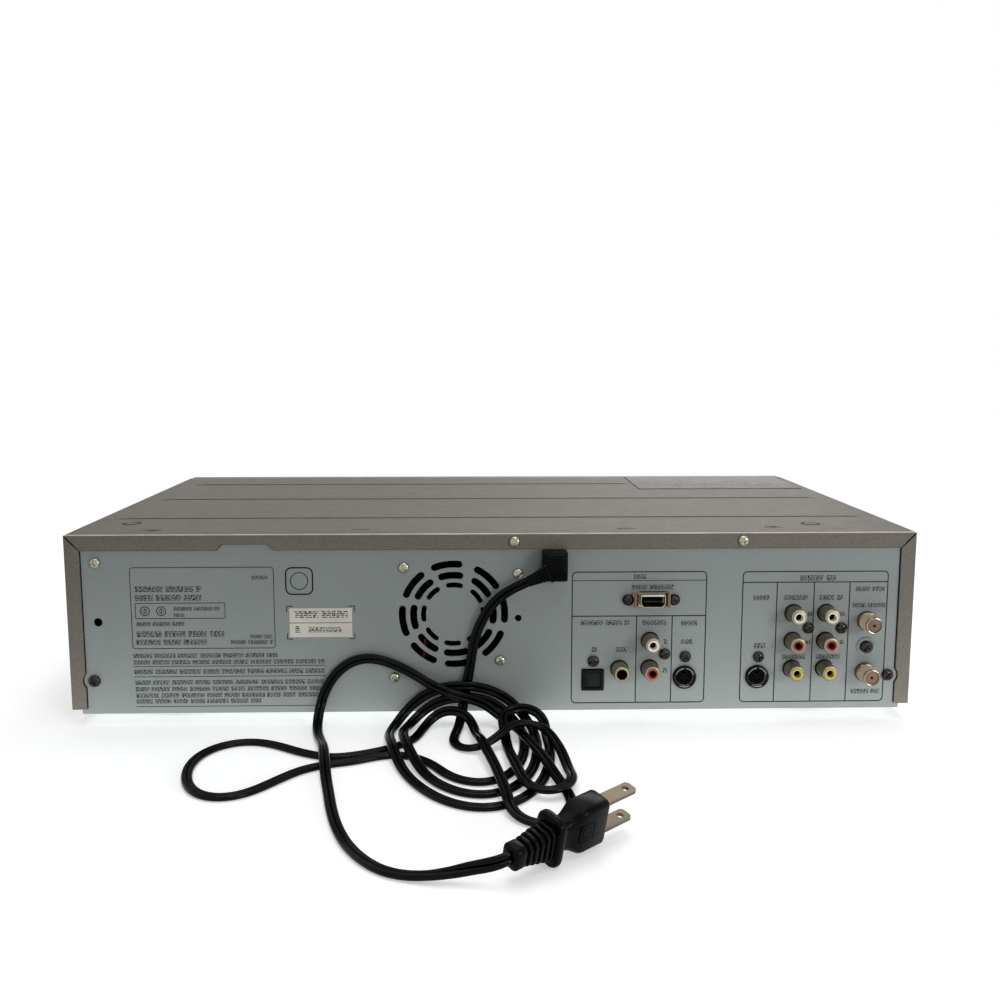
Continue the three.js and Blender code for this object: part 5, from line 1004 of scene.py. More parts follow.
def make_panel():
    outlines = [outline_round(0, (PANEL_HEAD + PANEL_FOOT) / 2, 212.5, (PANEL_HEAD - PANEL_FOOT) / 2, 0.6)]
    outlines += [grille_slot(*ring, sector) for ring in GRILLE_RINGS for sector in range(8)]
    outlines += [outline_circle(x, down(drop), 4.75) for x, *column in PHONO.values() for drop, _ in column]
    outlines += [outline_circle(x, down(drop), 5.1) for x, drop in AERIAL]
    outlines += [outline_circle(x, down(drop), 6.15) for x, drop in S_VIDEO]
    outlines.append(outline_round(OPTICAL_X, OPTICAL_Z, 5.85, 5.85, 0.5))
    outlines.append(outline_round(-81.8, down(34.9), 7.2, 4.2, 0.5))
    outlines.append(outline_round(BUSHING_X, BUSHING_Z, 4.6, 4.6, 0.5))
    outlines.append(outline_circle(202.3, down(45.3), 2.2))
    outlines.append(outline_circle(-12.3, down(44.4), 1.75))
    return plate_mesh(outlines, PANEL_IN, PANEL_OUT, 0.16)


# The panel is drawn up round the screw between the aerial connectors
DRAWN_X, DRAWN_DROP = -193.9, 60.6
raised = ring_mesh([(3.6, -0.1), (3.7, 0.6), (4.3, 0.75), (4.9, 0.45), (5.2, -0.1)],
                   (DRAWN_X, PANEL_OUT, down(DRAWN_DROP)))
panel = finish_mesh("panel_skin", dyed(PANEL, make_panel(), raised), smooth=12)
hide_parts("rear_panel")


def make_gap_shadows():
    """Painted shadow: dark lines on the panel along the cover's edge, where the gap under the edge lies in shade.
    """
    side = WINDOW_HALF - 0.3
    bulge = [(BULGE_X + BULGE_RADIUS * math.cos(a), BULGE_Z + BULGE_RADIUS * math.sin(a))
             for a in np.radians(np.linspace(-46, 46, 9))]
    edge = [(side, COVER_BOTTOM + 0.4), (side, down(80)), *bulge, (side, down(72)), (side, down(8.3))]
    over = ((209.4, 8.1), (141, 8.1), (138, 5), (115.2, 5), (112.2, 8.1), (-209.4, 8.1))
    lines = (edge, [(-x, z) for x, z in edge], [(x, down(drop)) for x, drop in over])
    ends = [[(x, PANEL_OUT + 0.1, z) for x, z in run] for line in lines for run in zip(line, line[1:])]
    return dyed(DULL_BLACK_AND_SHADE, *(tube_mesh(run, 0.24, 8) for run in ends))


# Painted shadow along the cover's edge, drawn as thin dark wires on the panel.
finish_mesh("cover_gap_shadows", make_gap_shadows())
# Painted shade: dark plates just behind two small holes in the panel, so that the holes read as dark.
finish_mesh("painted_hole_shade", dyed(DULL_BLACK_AND_SHADE, box_mesh(201, 210, 123.5, 124.5, down(52), down(38), 0.2),
                                box_mesh(-17, -8, 123.5, 124.5, down(49), down(40), 0.2)))


# Screws
def screw_mesh(x, y, drop, radius, turn, height):
    """A round head with a cross recess."""
    head = lathe_mesh([(radius * 0.97, -0.3), (radius, 0.25 * height), (radius * 0.95, 0.5 * height),
                       (radius * 0.78, 0.78 * height), (radius * 0.5, 0.95 * height), (0, height)],
                      (0, 0, 0), "y", 28)
    recess = ((0.62, 0.13, 0.35), (0.13, 0.62, 0.35), (0.24, 0.24, 0.3))
    head = cut_mesh(head, [block(0, 0, radius * half_x, radius * half_z, height * floor, height + 1)
                           for half_x, half_z, floor in recess])
    place = Matrix.Translation(Vector((x, y, down(drop))) * MM)
    head.transform(place @ Matrix.Rotation(math.radians(turn), 4, "Y"))
    return head


SILVER_SCREWS = [(202.4, 14.5, 12), (46.2, 17.5, 30), (-12.2, 20.9, 48), (-3.1, 66.8, 20), (51.7, 75.4, 65)]
COMPONENT_POSTS = (-69, -92.8)
BLACK_SCREWS = [(-51.4, 67.5, 3, 8), (-88.5, 63.9, 3, 30), (-99.3, 65.4, 3, 52), (-137.6, 65.8, 2.9, 5),
                (-163.3, 50.5, 3, 38), (-180.6, 50.6, 3, 20), (DRAWN_X, DRAWN_DROP, 3.1, 60),
                (205.5, 76.2, 3.1, 22),
                (-205.9, 75.9, 3.1, 46), (COMPONENT_POSTS[0], 34.6, 2.5, 35),
                (COMPONENT_POSTS[1], 34.9, 2.5, 12)]
silver = [screw_mesh(x, PANEL_OUT, drop, 2.7, turn, 1.7) for x, drop, turn in SILVER_SCREWS]
silver += [screw_mesh(x, COVER_REAR, drop, 2.8, turn, 1.9) for x, drop, turn in LIP_SCREWS]
finish_mesh("silver_screws", dyed(ZINC, *silver), smooth=40)
black = [screw_mesh(x, PANEL_OUT + (0.9 if drop < 36 else 0), drop, radius, turn, 2)
         for x, drop, radius, turn in BLACK_SCREWS]
finish_mesh("black_screws", dyed(BLACKENED, *black), smooth=40)


# Printing on the panel: frames, rules, rings and rows of plain marks
INK_TOP = PANEL_OUT + 0.07
INK_LOW = PANEL_OUT + 0.01


def ink_block(x, z, half_x, half_z):
    return block(x, z, half_x, half_z, INK_LOW, INK_TOP)


def ink_ring(x, drop, inner, outer, sides):
    return flat_ring(inner, outer, 0.01, 0.07, (x, PANEL_OUT, down(drop)), "y", sides)


def line_frame(x0, x1, top, bottom, radius, width=0.5):
    x, z = (x0 + x1) / 2, (down(top) + down(bottom)) / 2
    half_x, half_z = abs(x1 - x0) / 2, abs(bottom - top) / 2
    return plate_mesh([outline_round(x, z, half_x + out, half_z + out, radius + out)
                       for out in (width / 2, -width / 2)], INK_LOW, INK_TOP)


def level_rule(x0, x1, drop, width=0.5):
    return ink_block((x0 + x1) / 2, down(drop), (x0 - x1) / 2, width / 2)


def upright_rule(x, top, bottom):
    return ink_block(x, down((top + bottom) / 2), 0.25, (bottom - top) / 2)


def dashes(width, height, seed, word=5.5):
    """Short bars and ticks at random in a band, with gaps as between words: rectangles (x0, x1, z0, z1)."""
    chance = random.Random(seed)
    weight = height * 0.135
    out = []
    at = 0
    while at < width - height * 0.3:
        reach = min(width, at + height * chance.uniform(0.55, 1) * word)
        if width - reach < height * 1.2:
            reach = width
        for row in range(4):
            level = height * (0.02 + row * 0.282)
            x = at + height * chance.uniform(0, 0.2)
            while x < reach - height * 0.15:
                end = min(reach, x + height * chance.uniform(0.3, 0.75))
                out.append((x, end, level, level + weight))
                x = end + height * chance.uniform(0.12, 0.3)
        for _ in range(round((reach - at) / height * 2.1)):
            x = chance.uniform(at, reach - weight)
            level = height * 0.282 * chance.choice((0, 1, 2))
            out.append((x, x + weight, level + weight, level + height * 0.3))
        at = reach + height * 0.45
    return out


BLOCK_FACES = ((3, 2, 1, 0), (4, 5, 6, 7), (0, 1, 5, 4), (1, 2, 6, 5), (2, 3, 7, 6), (3, 0, 4, 7))


def mark_mesh(bands, corner):
    """Thin blocks over rectangles (x0, x1, low, high). corner gives the place of one, on side 0 or 1."""
    points, faces = [], []
    for a, b, low, high in bands:
        faces += [tuple(len(points) + k for k in face) for face in BLOCK_FACES]
        points += [corner(x, up, side) for side in (0, 1) for x, up in ((a, low), (b, low), (b, high), (a, high))]
    return mesh_of(points, faces)


def marks(x_left, x_right, top, bottom, seed, word=5.5, y0=INK_LOW, y1=INK_TOP):
    """A band of plain marks on the panel, in rows of short bars and ticks."""
    return mark_mesh(dashes(abs(x_right - x_left), abs(bottom - top), seed, word),
                     lambda x, up, side: (x_left - x, (y0, y1)[side], down(bottom) + up))


def flat_marks(x_left, x_right, y, height, seed):
    """The same on the top of the cover, read from behind."""
    return mark_mesh(dashes(abs(x_right - x_left), height, seed),
                     lambda x, up, side: (x_left - x, y - up, TOP + (0.14, 0.2)[side]))


def make_printing():
    parts = [
        line_frame(185.2, 112.6, 17, 59.3, 1.4, 0.32), line_frame(183.1, 137.7, 35.5, 43.5, 0.4, 0.3),
        line_frame(106.4, 92.8, 17.4, 31.2, 3, 0.7), line_frame(-40.1, -109.5, 20.4, 89.9, 2.2),
        line_frame(-128.4, -203.9, 20.6, 90, 2.2), level_rule(-40.1, -109.5, 24.9, 0.3),
        level_rule(-40.1, -109.5, 43.6), level_rule(-128.4, -203.9, 26.2), level_rule(185.2, 87, 68.7, 0.26),
        level_rule(185.2, 87, 74.2, 0.26), level_rule(185, 87, 90.1, 0.26), ink_ring(99.6, 24.3, 4.2, 4.6, 36),
    ]
    parts += [upright_rule(x, 43.6, 89.9) for x in (-73.6, -92.1)]
    parts += [upright_rule(x, 26.2, 90) for x in (-146.3, -165.6, -184.2)]
    for x in (178.3, 170.1):
        parts += [ink_ring(x, 39.6, 1, 1.25, 20), ink_ring(x, 39.6, 2.1, 2.5, 28),
                  ink_block(x, down(39.6), 0.2, 1.4)]
    rows = [
        (183.3, 149.3, 26.8, 29.6), (183.4, 149.5, 31.3, 34.1), (164, 140.4, 37.6, 39.4), (164, 158.4, 41, 42.6),
        (183, 158.6, 45.4, 47.4), (183.2, 138.5, 50.3, 53.1), (183.4, 147, 54.7, 57.2), (123.8, 115.7, 21.5, 23.3),
        (125.4, 113.9, 52.4, 54.2), (135.4, 113.8, 55.2, 57.1), (185.4, 111.6, 62, 64.2), (185.4, 87.2, 65.5, 67.6),
        (185.2, 87.6, 70.4, 72.7), (185, 87.2, 76.2, 78.4), (185, 89.8, 79.7, 81.9), (184.8, 91, 83.1, 85.3),
        (184.8, 120.6, 86.2, 88.4), (-71.4, -78.2, 21.8, 24.1), (-70.4, -92.5, 27.2, 29.6),
        (-44.4, -69.8, 45.9, 48.4), (-76.5, -89, 46.1, 48.5), (-96.5, -105.2, 46.3, 48.8),
        (-96.7, -102.8, 56.3, 58.7), (-50.2, -53.2, 60.1, 62.6), (-62.7, -68.7, 60.2, 62.7),
        (-87.7, -90.1, 56.1, 58.5), (-87.5, -90.3, 71.4, 73.9), (-157.7, -176.5, 22.7, 25.4),
        (-187.1, -202.3, 28.8, 31.1), (-133.7, -142.4, 33.2, 35.6), (-149.8, -162.3, 33.2, 35.6),
        (-168.3, -180.7, 33.2, 35.8), (-185.8, -203.2, 37.5, 39.7), (-162.4, -165.1, 42, 44.2),
        (-179.4, -182.2, 42.1, 44.3), (-162.1, -164.9, 57.1, 59.2), (-179.8, -182.3, 57.1, 59.2),
        (-149.9, -162.3, 64.8, 67.1), (-167.9, -180.4, 64.8, 67.1), (-134.9, -141.1, 58.6, 61.2),
        (-186.8, -202.2, 83.6, 85.9),
    ]
    parts += [marks(*row, i) for i, row in enumerate(rows)]
    return dyed(INK, *parts)


finish_mesh("panel_printing", make_printing(), smooth=20)


def make_pale_sticker():
    x, z = 89, down(46.1)
    paper = plate_mesh([outline_round(x, z, 16, 7.6, 0.3)], PANEL_OUT + 0.02, PANEL_OUT + 0.16, 0.02)
    low, top = PANEL_OUT + 0.1, PANEL_OUT + 0.19
    ink = [box_mesh(73, 105, low, top, down(46.35), down(46.05))]
    for x_left, x_right, high, bottom, seed, word in (
            (102.5, 75.2, 40.1, 43.6, 71, 5), (102.5, 99.4, 47.9, 51.3, 72, 5), (95.6, 78.5, 48.6, 51.2, 73, 9)):
        ink.append(marks(x_left, x_right, high, bottom, seed, word, low, top))
    for sx in (1, -1):
        for sz in (1, -1):
            ink.append(ink_block(x + sx * 15.8, z + sz * 8.6, 1.5, 0.2))
            ink.append(ink_block(x + sx * 17.3, z + sz * 7.1, 0.2, 1.5))
    return dyed(PAPER, paper) + dyed(INK, *ink)


finish_mesh("pale_sticker", make_pale_sticker(), smooth=20)


def make_top_sticker():
    near, far = COVER_REAR - 177, COVER_FRONT + 2
    left, right = -101.5, -212
    film = box_mesh(right, left, far, near, TOP - 0.02, TOP + 0.13, 0.05, 2)
    # Painted shadow: dark strips along the film's near and left edges, where its raised edge throws shade.
    edges = [box_mesh(right, left, near - 0.15, near + 0.4, TOP - 0.02, TOP + 0.3, 0.1),
             box_mesh(left - 0.2, left + 0.4, far, near, TOP - 0.02, TOP + 0.26, 0.1)]
    print_marks = [flat_marks(-118, -205, near - 10 - 7.5 * i, 3.4, 90 + i) for i in range(4)]
    return dyed(FILM, film) + dyed(DULL_BLACK_AND_SHADE, *edges) + dyed(FAINT, *print_marks)


finish_mesh("top_sticker", make_top_sticker())


# Jacks. Their bodies reach from JACK_BACK, at the jack board, to JACK_FACE, at the panel
JACK_BACK, JACK_FACE = 114.2, 126.2
PHONO_KINDS = {
    "white": (WHITE, 1.85, NICKEL), "red": (RED, 1.7, NICKEL), "yellow": (YELLOW, 1.8, NICKEL),
    "coaxial": (DULL_BLACK_AND_SHADE, 2.2, GILT),
}


def phono_parts(x, drop, kind):
    """A phono socket: a drawn shell, a coloured insert at its mouth and a sprung contact inside."""
    at = (x, PANEL_OUT, down(drop))
    colour, bore, plating = PHONO_KINDS[kind]
    shell = ring_mesh([(4.2, -3), (4.2, 9.3), (4.1, 10), (3.8, 10.45), (3.3, 10.6), (2.75, 10.6), (2.6, 10.3),
                       (2.6, 4), (3.4, -3)], at, "y", 44)
    insert = ring_mesh([(2.75, 9), (2.85, 10.5), (2.7, 10.8), (2.4, 10.95), (bore + 0.25, 10.85), (bore, 10.4),
                        (bore - 0.15, 2.6), (2.7, 2.6)], at, "y", 36)
    contact = flat_ring(bore - 0.35, bore - 0.1, 2, 7.6, at, "y", 24)
    mouth = lathe_mesh([(2.7, 1.2), (2.7, 2.2)], at, "y", 36)
    floor = lathe_mesh([(3.1, 1.2), (3.1, 2.2)], at, "y", 24)
    base = ring_mesh([(4.15, -0.6), (4.72, -0.6), (4.72, 0.2), (4.55, 0.38), (4.15, 0.38)], at, "y", 36)
    return dyed(plating, shell) + dyed(DULL_BLACK_AND_SHADE, mouth, contact, floor) + dyed(colour, insert) + dyed(BLACK, base)


for name, (x, *column) in PHONO.items():
    parts = [one for drop, kind in column for one in phono_parts(x, drop, kind)]
    low, high = down(column[-1][0]) - 6.5, down(column[0][0]) + 6.5
    parts += dyed(BLACK, box_mesh(x - 6, x + 6, JACK_BACK, JACK_FACE, low, high, 0.5))
    made = finish_mesh(name.replace("jack", "socket"), parts, smooth=38)
    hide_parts(name)


def aerial_parts(x, drop):
    """A threaded aerial connector with its plain collar, insulator and pin hole."""
    at = (x, PANEL_OUT, down(drop))
    reach = 11.3
    profile = [(3.5, -3), (4.95, -3), (4.95, 2.5), (4.75, 2.8), (4.2, 3)]
    along = 3.2
    while along < reach - 1.5:
        profile += [(4.15, along), (4.74, along + 0.3), (4.74, along + 0.5), (4.15, along + 0.82)]
        along += 1.04
    profile += [(4.35, reach - 1.3), (4.5, reach - 1.1), (4.5, reach - 0.5), (4.25, reach - 0.1), (3.95, reach),
                (3.6, reach - 0.1), (3.5, reach - 0.6)]
    insulator = ring_mesh([(3.7, -2), (3.7, reach - 0.7), (2.2, reach - 0.35), (1, reach - 0.3),
                           (0.7, reach - 0.55), (0.7, -2)], at, "y", 36)
    pin = lathe_mesh([(0.72, -2), (0.72, reach - 3)], at, "y", 14)
    return dyed(BRIGHT, ring_mesh(profile, at, "y", 44)) + dyed(AMBER, insulator) + dyed(DULL_BLACK_AND_SHADE, pin)


aerial = [one for place in AERIAL for one in aerial_parts(*place)]
aerial += dyed(STEEL, box_mesh(-205.4, -183.4, 88.2, JACK_FACE, down(84.8), down(36.4), 0.6))
aerial_unit = finish_mesh("aerial_unit", aerial, smooth=32)
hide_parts("rf_unit")


def s_video_parts(x, drop):
    z = down(drop)
    at = (x, PANEL_OUT, z)
    housing = ring_mesh([(4.6, -6), (6.1, -6), (6.1, 1.1), (5.9, 1.45), (5.5, 1.6), (4.9, 1.5), (4.75, 1.2)],
                        at, "y", 44)
    arcs = [tube_mesh([(x + 4.95 * math.cos(a), PANEL_OUT + 1.5, z + 4.95 * math.sin(a))
                       for a in np.radians(np.linspace(first, first + 62, 9))], 0.16, 8)
            for first in (20, 98, 240)]
    shell = ring_mesh([(4.3, -5), (4.62, -5), (4.62, 0.2), (4.5, 0.3), (4.4, 0.2)], at, "y", 44)
    pin_holes = [outline_circle(x + px, z + pz, 0.5, 12)
                 for px, pz in ((-2.3, 0.4), (2.3, 0.4), (-1.3, -1.8), (1.3, -1.8))]
    core = plate_mesh([outline_circle(x, z, 3.75, 36), *pin_holes, outline_round(x, z + 2.2, 1.1, 0.55, 0.2)],
                      PANEL_OUT - 5, PANEL_OUT - 0.6, 0.1)
    floor = lathe_mesh([(4.7, -5.6), (4.7, -4.6)], at, "y", 32)
    back = cut_mesh(block(x, z, 6, 6.5, JACK_BACK, JACK_FACE, 0.5), [bar_mesh(x, z, 4.7, 121.5, 130)])
    return dyed(BLACK, housing, back) + dyed(STEEL, shell, *arcs) + dyed(DULL_BLACK_AND_SHADE, core, floor)


for name, place in zip(("svideo_in", "svideo_out"), S_VIDEO):
    made = finish_mesh(name + "_socket", s_video_parts(*place), smooth=38)
    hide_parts(name)


def optical_parts():
    x, z = OPTICAL_X, OPTICAL_Z
    body = block(x, z, 5.45, 5.45, JACK_BACK, PANEL_OUT + 1.2, 0.35, 2)
    body = cut_mesh(body, [block(x, z, 4.2, 4.2, PANEL_OUT + 0.3, PANEL_OUT + 3)])
    return dyed(BLACK, body) + dyed(
        DARK_PLASTIC_AND_SHADE, block(x, z, 3.9, 3.9, PANEL_OUT - 0.6, PANEL_OUT + 0.65, 0.4, 2),
        block(x, z + 2.85, 3.4, 0.25, PANEL_OUT, PANEL_OUT + 0.85, 0.15),
        block(x, z - 0.5, 2.6, 2.1, PANEL_OUT, PANEL_OUT + 0.8, 0.3))


optical = finish_mesh("optical_socket", optical_parts())
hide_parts("optical_jack")


def component_parts():
    x, z = -81.2, down(34.9)

    def outline(half_x, half_z, slant):
        left, right, low, high = x - half_x, x + half_x, z - half_z, z + half_z
        return [(left + slant, low), (right - slant, low), (right, low + slant), (right, high), (left, high),
                (left, low + slant)]

    flange = plate_mesh([outline_round(x, z, 9.8, 3.8, 0.4), outline(5.6, 3, 1.2)],
                        PANEL_OUT + 0.25, PANEL_OUT + 0.95, 0.12)
    shell = plate_mesh([outline(6.5, 3.4, 1.6), outline(5.9, 2.8, 1.3)], 116, PANEL_OUT + 5, 0.14)
    tabs = [block(x + side * 8.6, z, 0.8, 3.7, PANEL_OUT + 0.5, PANEL_OUT + 3, 0.4) for side in (1, -1)]
    dark = [block(x, z, 5.8, 2.7, 115, PANEL_OUT - 1.5, 0.1),
            block(x, z + 0.3, 4.6, 0.6, PANEL_OUT - 2, PANEL_OUT + 4, 0.15)]
    pins = [block(x - 4 + i * 1.2, z - 0.365, 0.2, 0.085, PANEL_OUT - 1, PANEL_OUT + 3.8) for i in range(8)]
    dark += [block(x + side * 7.3, z, 0.36, 3.5, PANEL_OUT + 0.5, PANEL_OUT + 1.15, 0.1) for side in (1, -1)]
    dark += [flat_ring(1.2, 2.9, 0.9, 1.3, (px, PANEL_OUT, z), "y", 24) for px in COMPONENT_POSTS]
    lip = box_mesh(x - 5.6, x + 5.9, PANEL_OUT + 4.2, PANEL_OUT + 5.05, z + 2.5, z + 3.5, 0.15)
    return dyed(BRIGHT, flange, shell, *pins) + dyed(AMBER, *tabs) + dyed(STEEL, lip) + dyed(DULL_BLACK_AND_SHADE, *dark)


component = finish_mesh("component_socket", component_parts(), smooth=30)
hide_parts("component_jack")


# The fan's red lead, seen through the slots
def make_fan_lead():
    path = []
    for i in range(25):
        t = i / 24
        path.append((38.6 - 3.4 * t - 0.6 * math.sin(t * 4), 125.6 - 0.1 * math.sin(t * 3), 29 + 15 * t))
    return tube_mesh(path, 0.6)


finish_mesh("fan_lead", dyed(WIRE, make_fan_lead()))


# Front: keys with rounded faces, raised faces on the covers, and generic symbols
KEY_FACE, KEY_FLANGE, FLANGE_END, STEM_END = -141.1, -136.6, -135.4, -128.9
KEY_ROW = 43.98
ROUND_X = 203
POWER_Z = 39.94
TRAY_Z = 70.1
WINDOW_X, WINDOW_Z = 110, 31.97
ROCKER_X, ROCKER_Z = -50, 29.01


def make_key(name, x, z, cap, collar):
    stem = bar_mesh(x, z, 1.5, FLANGE_END - 0.2, STEM_END, 16)
    made = finish_mesh(name.replace("button", "key"), dyed(GREY, cap, collar, stem), body=name)
    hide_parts(name)


for name, x in (("tape_eject_button", -190), ("play_button", -140), ("stop_button", -115), ("record_button", -90)):
    make_key(name, x, KEY_ROW, block(x, KEY_ROW, 9, 3, KEY_FACE, FLANGE_END, 0.75),
             block(x, KEY_ROW, 10, 4, KEY_FLANGE, FLANGE_END, 0.2))
for name, z in (("power_button", POWER_Z), ("disc_eject_button", TRAY_Z)):
    cap = lathe_mesh([(6, FLANGE_END), (6, KEY_FACE + 0.7), (5.8, KEY_FACE + 0.25), (5.3, KEY_FACE),
                      (4.4, KEY_FACE), (0, KEY_FACE + 0.35)], (ROUND_X, 0, z))
    make_key(name, ROUND_X, z, cap, bar_mesh(ROUND_X, z, 7, KEY_FLANGE, FLANGE_END, 40))


def symbol(outline):
    return plate_mesh([outline], FRONT - 0.07, FRONT + 0.02)


def symbol_block(x, z, half_x, half_z):
    return block(x, z, half_x, half_z, FRONT - 0.07, FRONT + 0.02)


def make_legends():
    """Play points to the viewer's right, which is +x seen from the front."""
    z = KEY_ROW + 7.4
    parts = [symbol([(-141.3, z - 1.5), (-138.7, z), (-141.3, z + 1.5)]), symbol_block(-115, z, 1.3, 1.3),
             symbol(outline_circle(-90, z, 1.5))]
    for x, level in ((-190, z), (ROUND_X, TRAY_Z + 9.6)):
        parts.append(symbol([(x - 1.8, level - 0.3), (x + 1.8, level - 0.3), (x, level + 1.5)]))
        parts.append(symbol_block(x, level - 1.025, 1.8, 0.275))
    z = POWER_Z + 10
    turns = [math.radians(125 + 290 * i / 20) for i in range(21)]
    arc = [(ROUND_X + radius * math.cos(turn), z + radius * math.sin(turn))
           for radius, way in ((2.1, turns), (1.6, turns[::-1])) for turn in way]
    parts.append(symbol(arc))
    parts.append(symbol_block(ROUND_X, z + 1.35, 0.25, 1.15))
    for way in (1, -1):
        z = ROCKER_Z + way * 14.2
        parts.append(symbol([(ROCKER_X - 2, z - way * 1.1), (ROCKER_X + 2, z - way * 1.1),
                             (ROCKER_X, z + way * 1.3)]))
    parts += [symbol_block(x, 36.4, 3, 0.2) for x in (-183, -165, -147)]
    return dyed(LEGEND, *parts)


finish_mesh("front_legends", make_legends())


# Raised faces on the covers
door_face = dyed(FASCIA, box_mesh(-203.6, -12.4, -140.3, -139.3, 61.4, 84.6, 0.45))
door_face += dyed(DARK_PLASTIC_AND_SHADE, box_mesh(-203.6, -12.4, -140.0, -139.3, 86.0, 86.5, 0.1))
finish_mesh("cassette_door_face", door_face, body="cassette_door")
tray_face = dyed(FASCIA, block(WINDOW_X, TRAY_Z, 76.4, 7.1, FRONT - 0.4, FRONT + 0.3, 0.35))
finish_mesh("tray_face", tray_face, body="disc_tray")
flap_face = dyed(FASCIA, box_mesh(-199, -131, -139.8, -139.1, 19.5, 31.2, 0.3))
flap_face += dyed(DARK_PLASTIC_AND_SHADE, box_mesh(-170, -160, -139.9, -139.5, 29.4, 30.4, 0.15))
finish_mesh("front_flap_face", flap_face, body="front_jack_flap")
ribs = [block(ROCKER_X, 21.4 + i * 2.4, 3.4, 0.4, KEY_FACE, -140.4, 0.15) for i in (0, 1, 5, 6)]
finish_mesh("rocker_ribs", dyed(DARK_PLASTIC_AND_SHADE, *ribs), body="channel_rocker")


def make_front_lines_and_shade():
    """Painted shade: a dark line across the front that stands for the shade in a groove, and dark surrounds for its
    openings that stand for the shade in the gaps round them. Also a dark strip along the foot.
    """
    parts = [box_mesh(-214, 214, FRONT - 0.25, FRONT + 0.3, 55.6, 56.4, 0.12),
             box_mesh(-214, 214, FRONT - 0.35, FRONT + 0.3, 8.6, 10.6, 0.3)]
    for x, z, outer, inner, proud, sunk, bevel in (
            (WINDOW_X, WINDOW_Z, (77.6, 10.6, 2.6), (75.3, 8.3, 0.4), 0.5, 0.2, 0.2),
            (-108, 73, (101.4, 17.9, 1.2), (99.6, 16.1, 0.4), 0.3, 0.1, 0.12),
            (WINDOW_X, TRAY_Z, (81.2, 11.7, 1.2), (79.8, 10.3, 0.4), 0.3, 0.1, 0.12)):
        parts.append(plate_mesh([outline_round(x, z, *outer), outline_round(x, z, *inner)],
                                FRONT - proud, FRONT + sunk, bevel))
    parts.append(plate_mesh([outline_circle(ROUND_X, POWER_Z, radius, 40) for radius in (8.4, 7)],
                            FRONT - 0.4, FRONT + 0.1, 0.15))
    return dyed(DARK_PLASTIC_AND_SHADE, *parts)


finish_mesh("front_trim_and_painted_shade", make_front_lines_and_shade(), smooth=25)


def make_segments():
    """Unlit clock digits behind the window."""
    bars = [(101, level, 0.6, 0.6) for level in (-2.4, 2.4)]
    for x in (80, 92, 110, 122):
        bars += [(x, level, 3, 0.5) for level in (-5, 0, 5)]
        bars += [(x + side, level, 0.5, 1.9) for side in (-3.6, 3.6) for level in (-2.5, 2.5)]
    return dyed(GLOW, *(block(x, WINDOW_Z + level, half_x, half_z, FRONT - 0.06, FRONT + 0.05)
                        for x, level, half_x, half_z in bars))


finish_mesh("clock_segments", make_segments())


# Floor and light
TABLE_GLOW = 2.5
FLOOR_HALF = 8


def white_seen(tree):
    """1 for the camera and for what polished or clear parts show, 0 for every other ray."""
    rays = add_node(tree, "LightPath").outputs
    seen = maths(tree, "ADD", rays["Is Camera Ray"], rays["Is Glossy Ray"], clamp=True)
    return maths(tree, "ADD", seen, rays["Is Transmission Ray"], clamp=True)


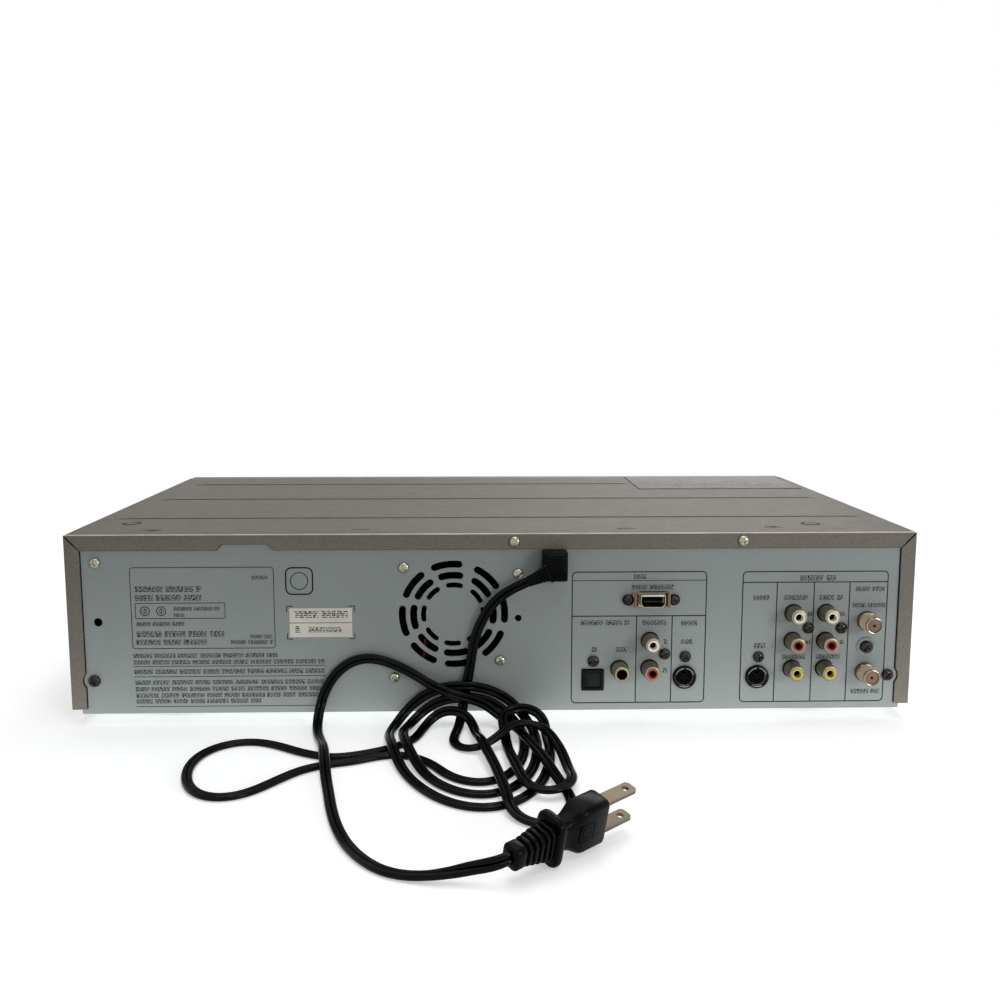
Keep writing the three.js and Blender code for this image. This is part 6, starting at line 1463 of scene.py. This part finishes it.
def make_floor():
    """White far off, and lifted a little where it is seen. Close round the case it also lights the case,
    as a bright table does."""
    mesh = bpy.data.meshes.new("floor")
    mesh.from_pydata([(x * FLOOR_HALF, y * FLOOR_HALF, 0) for x, y in ((-1, -1), (1, -1), (1, 1), (-1, 1))], [],
                     [(0, 1, 2, 3)])
    shade = Shade("pale_floor")
    tree = shade.tree
    shade.set(Base_Color=(0.87, 0.87, 0.87, 1), Roughness=0.7)
    seen = white_seen(tree)
    flat = shade.node("VectorMath", {0: shade.where, 1: (1, 1.25, 0)}, operation="MULTIPLY")
    away = shade.node("VectorMath", {0: flat.outputs[0]}, operation="LENGTH")
    fade = shade.node("MapRange", {"Value": away.outputs["Value"], "From Min": 0.5, "From Max": 1.0},
                      interpolation_type="SMOOTHSTEP")
    split = shade.node("SeparateXYZ", {0: shade.where})
    beyond = [maths(tree, "SUBTRACT", maths(tree, "ABSOLUTE", split.outputs[axis]), reach)
              for axis, reach in (("X", 0.215), ("Y", 0.128))]
    glow = shade.spread(maths(tree, "MAXIMUM", *beyond), TABLE_GLOW, 0, 0, 0.11)
    level = shade.node("Mix", {"Factor": seen, "A": glow, "B": 0.42})
    lift = shade.node("Emission", {"Strength": level.outputs["Result"]})
    near = shade.node("AddShader", {0: shade.shader.outputs[0], 1: lift.outputs[0]})
    white = shade.node("Emission", {"Strength": 1})
    mix = shade.node("MixShader", {0: maths(tree, "MULTIPLY", fade.outputs["Result"], seen),
                                   1: near.outputs[0], 2: white.outputs[0]})
    tree.links.new(mix.outputs[0], tree.nodes["Material Output"].inputs["Surface"])
    mesh.materials.append(shade.material)
    add_object("floor", mesh)


def make_world():
    world = bpy.data.worlds.new("world")
    bpy.context.scene.world = world
    world.use_nodes = True
    tree = world.node_tree
    background = tree.nodes["Background"]
    background.inputs["Color"].default_value = (0.95, 0.97, 1, 1)
    background.inputs["Strength"].default_value = 0.22
    white = add_node(tree, "Background", {"Color": (1, 1, 1, 1), "Strength": 1})
    mix = add_node(tree, "MixShader", {0: white_seen(tree), 1: background.outputs[0], 2: white.outputs[0]})
    tree.links.new(mix.outputs[0], tree.nodes["World Output"].inputs["Surface"])


def add_lamp(name, place, target, size, power):
    data = bpy.data.lights.new(name, "AREA")
    data.shape = "SQUARE"
    data.size = size
    data.energy = power
    lamp = add_object(name, data)
    lamp.location = place
    lamp.rotation_euler = (Vector(target) - Vector(place)).to_track_quat("-Z", "Y").to_euler()


make_floor()
make_world()
add_lamp("top", (0, -0.1, 2.2), (0, 0, 0.05), 1.6, 18)
add_lamp("right", (-0.72, 0.86, 0.26), (-0.12, 0.13, 0.05), 0.3, 3.4)
add_lamp("spark", (-0.3, 0.9, 1.4), (0, 0.15, 0.05), 0.2, 2.5)
add_lamp("front", (-0.5, -1.5, 1.1), (0, 0, 0.05), 0.9, 9.5)

bpy.context.scene.view_settings.view_transform = "Standard"
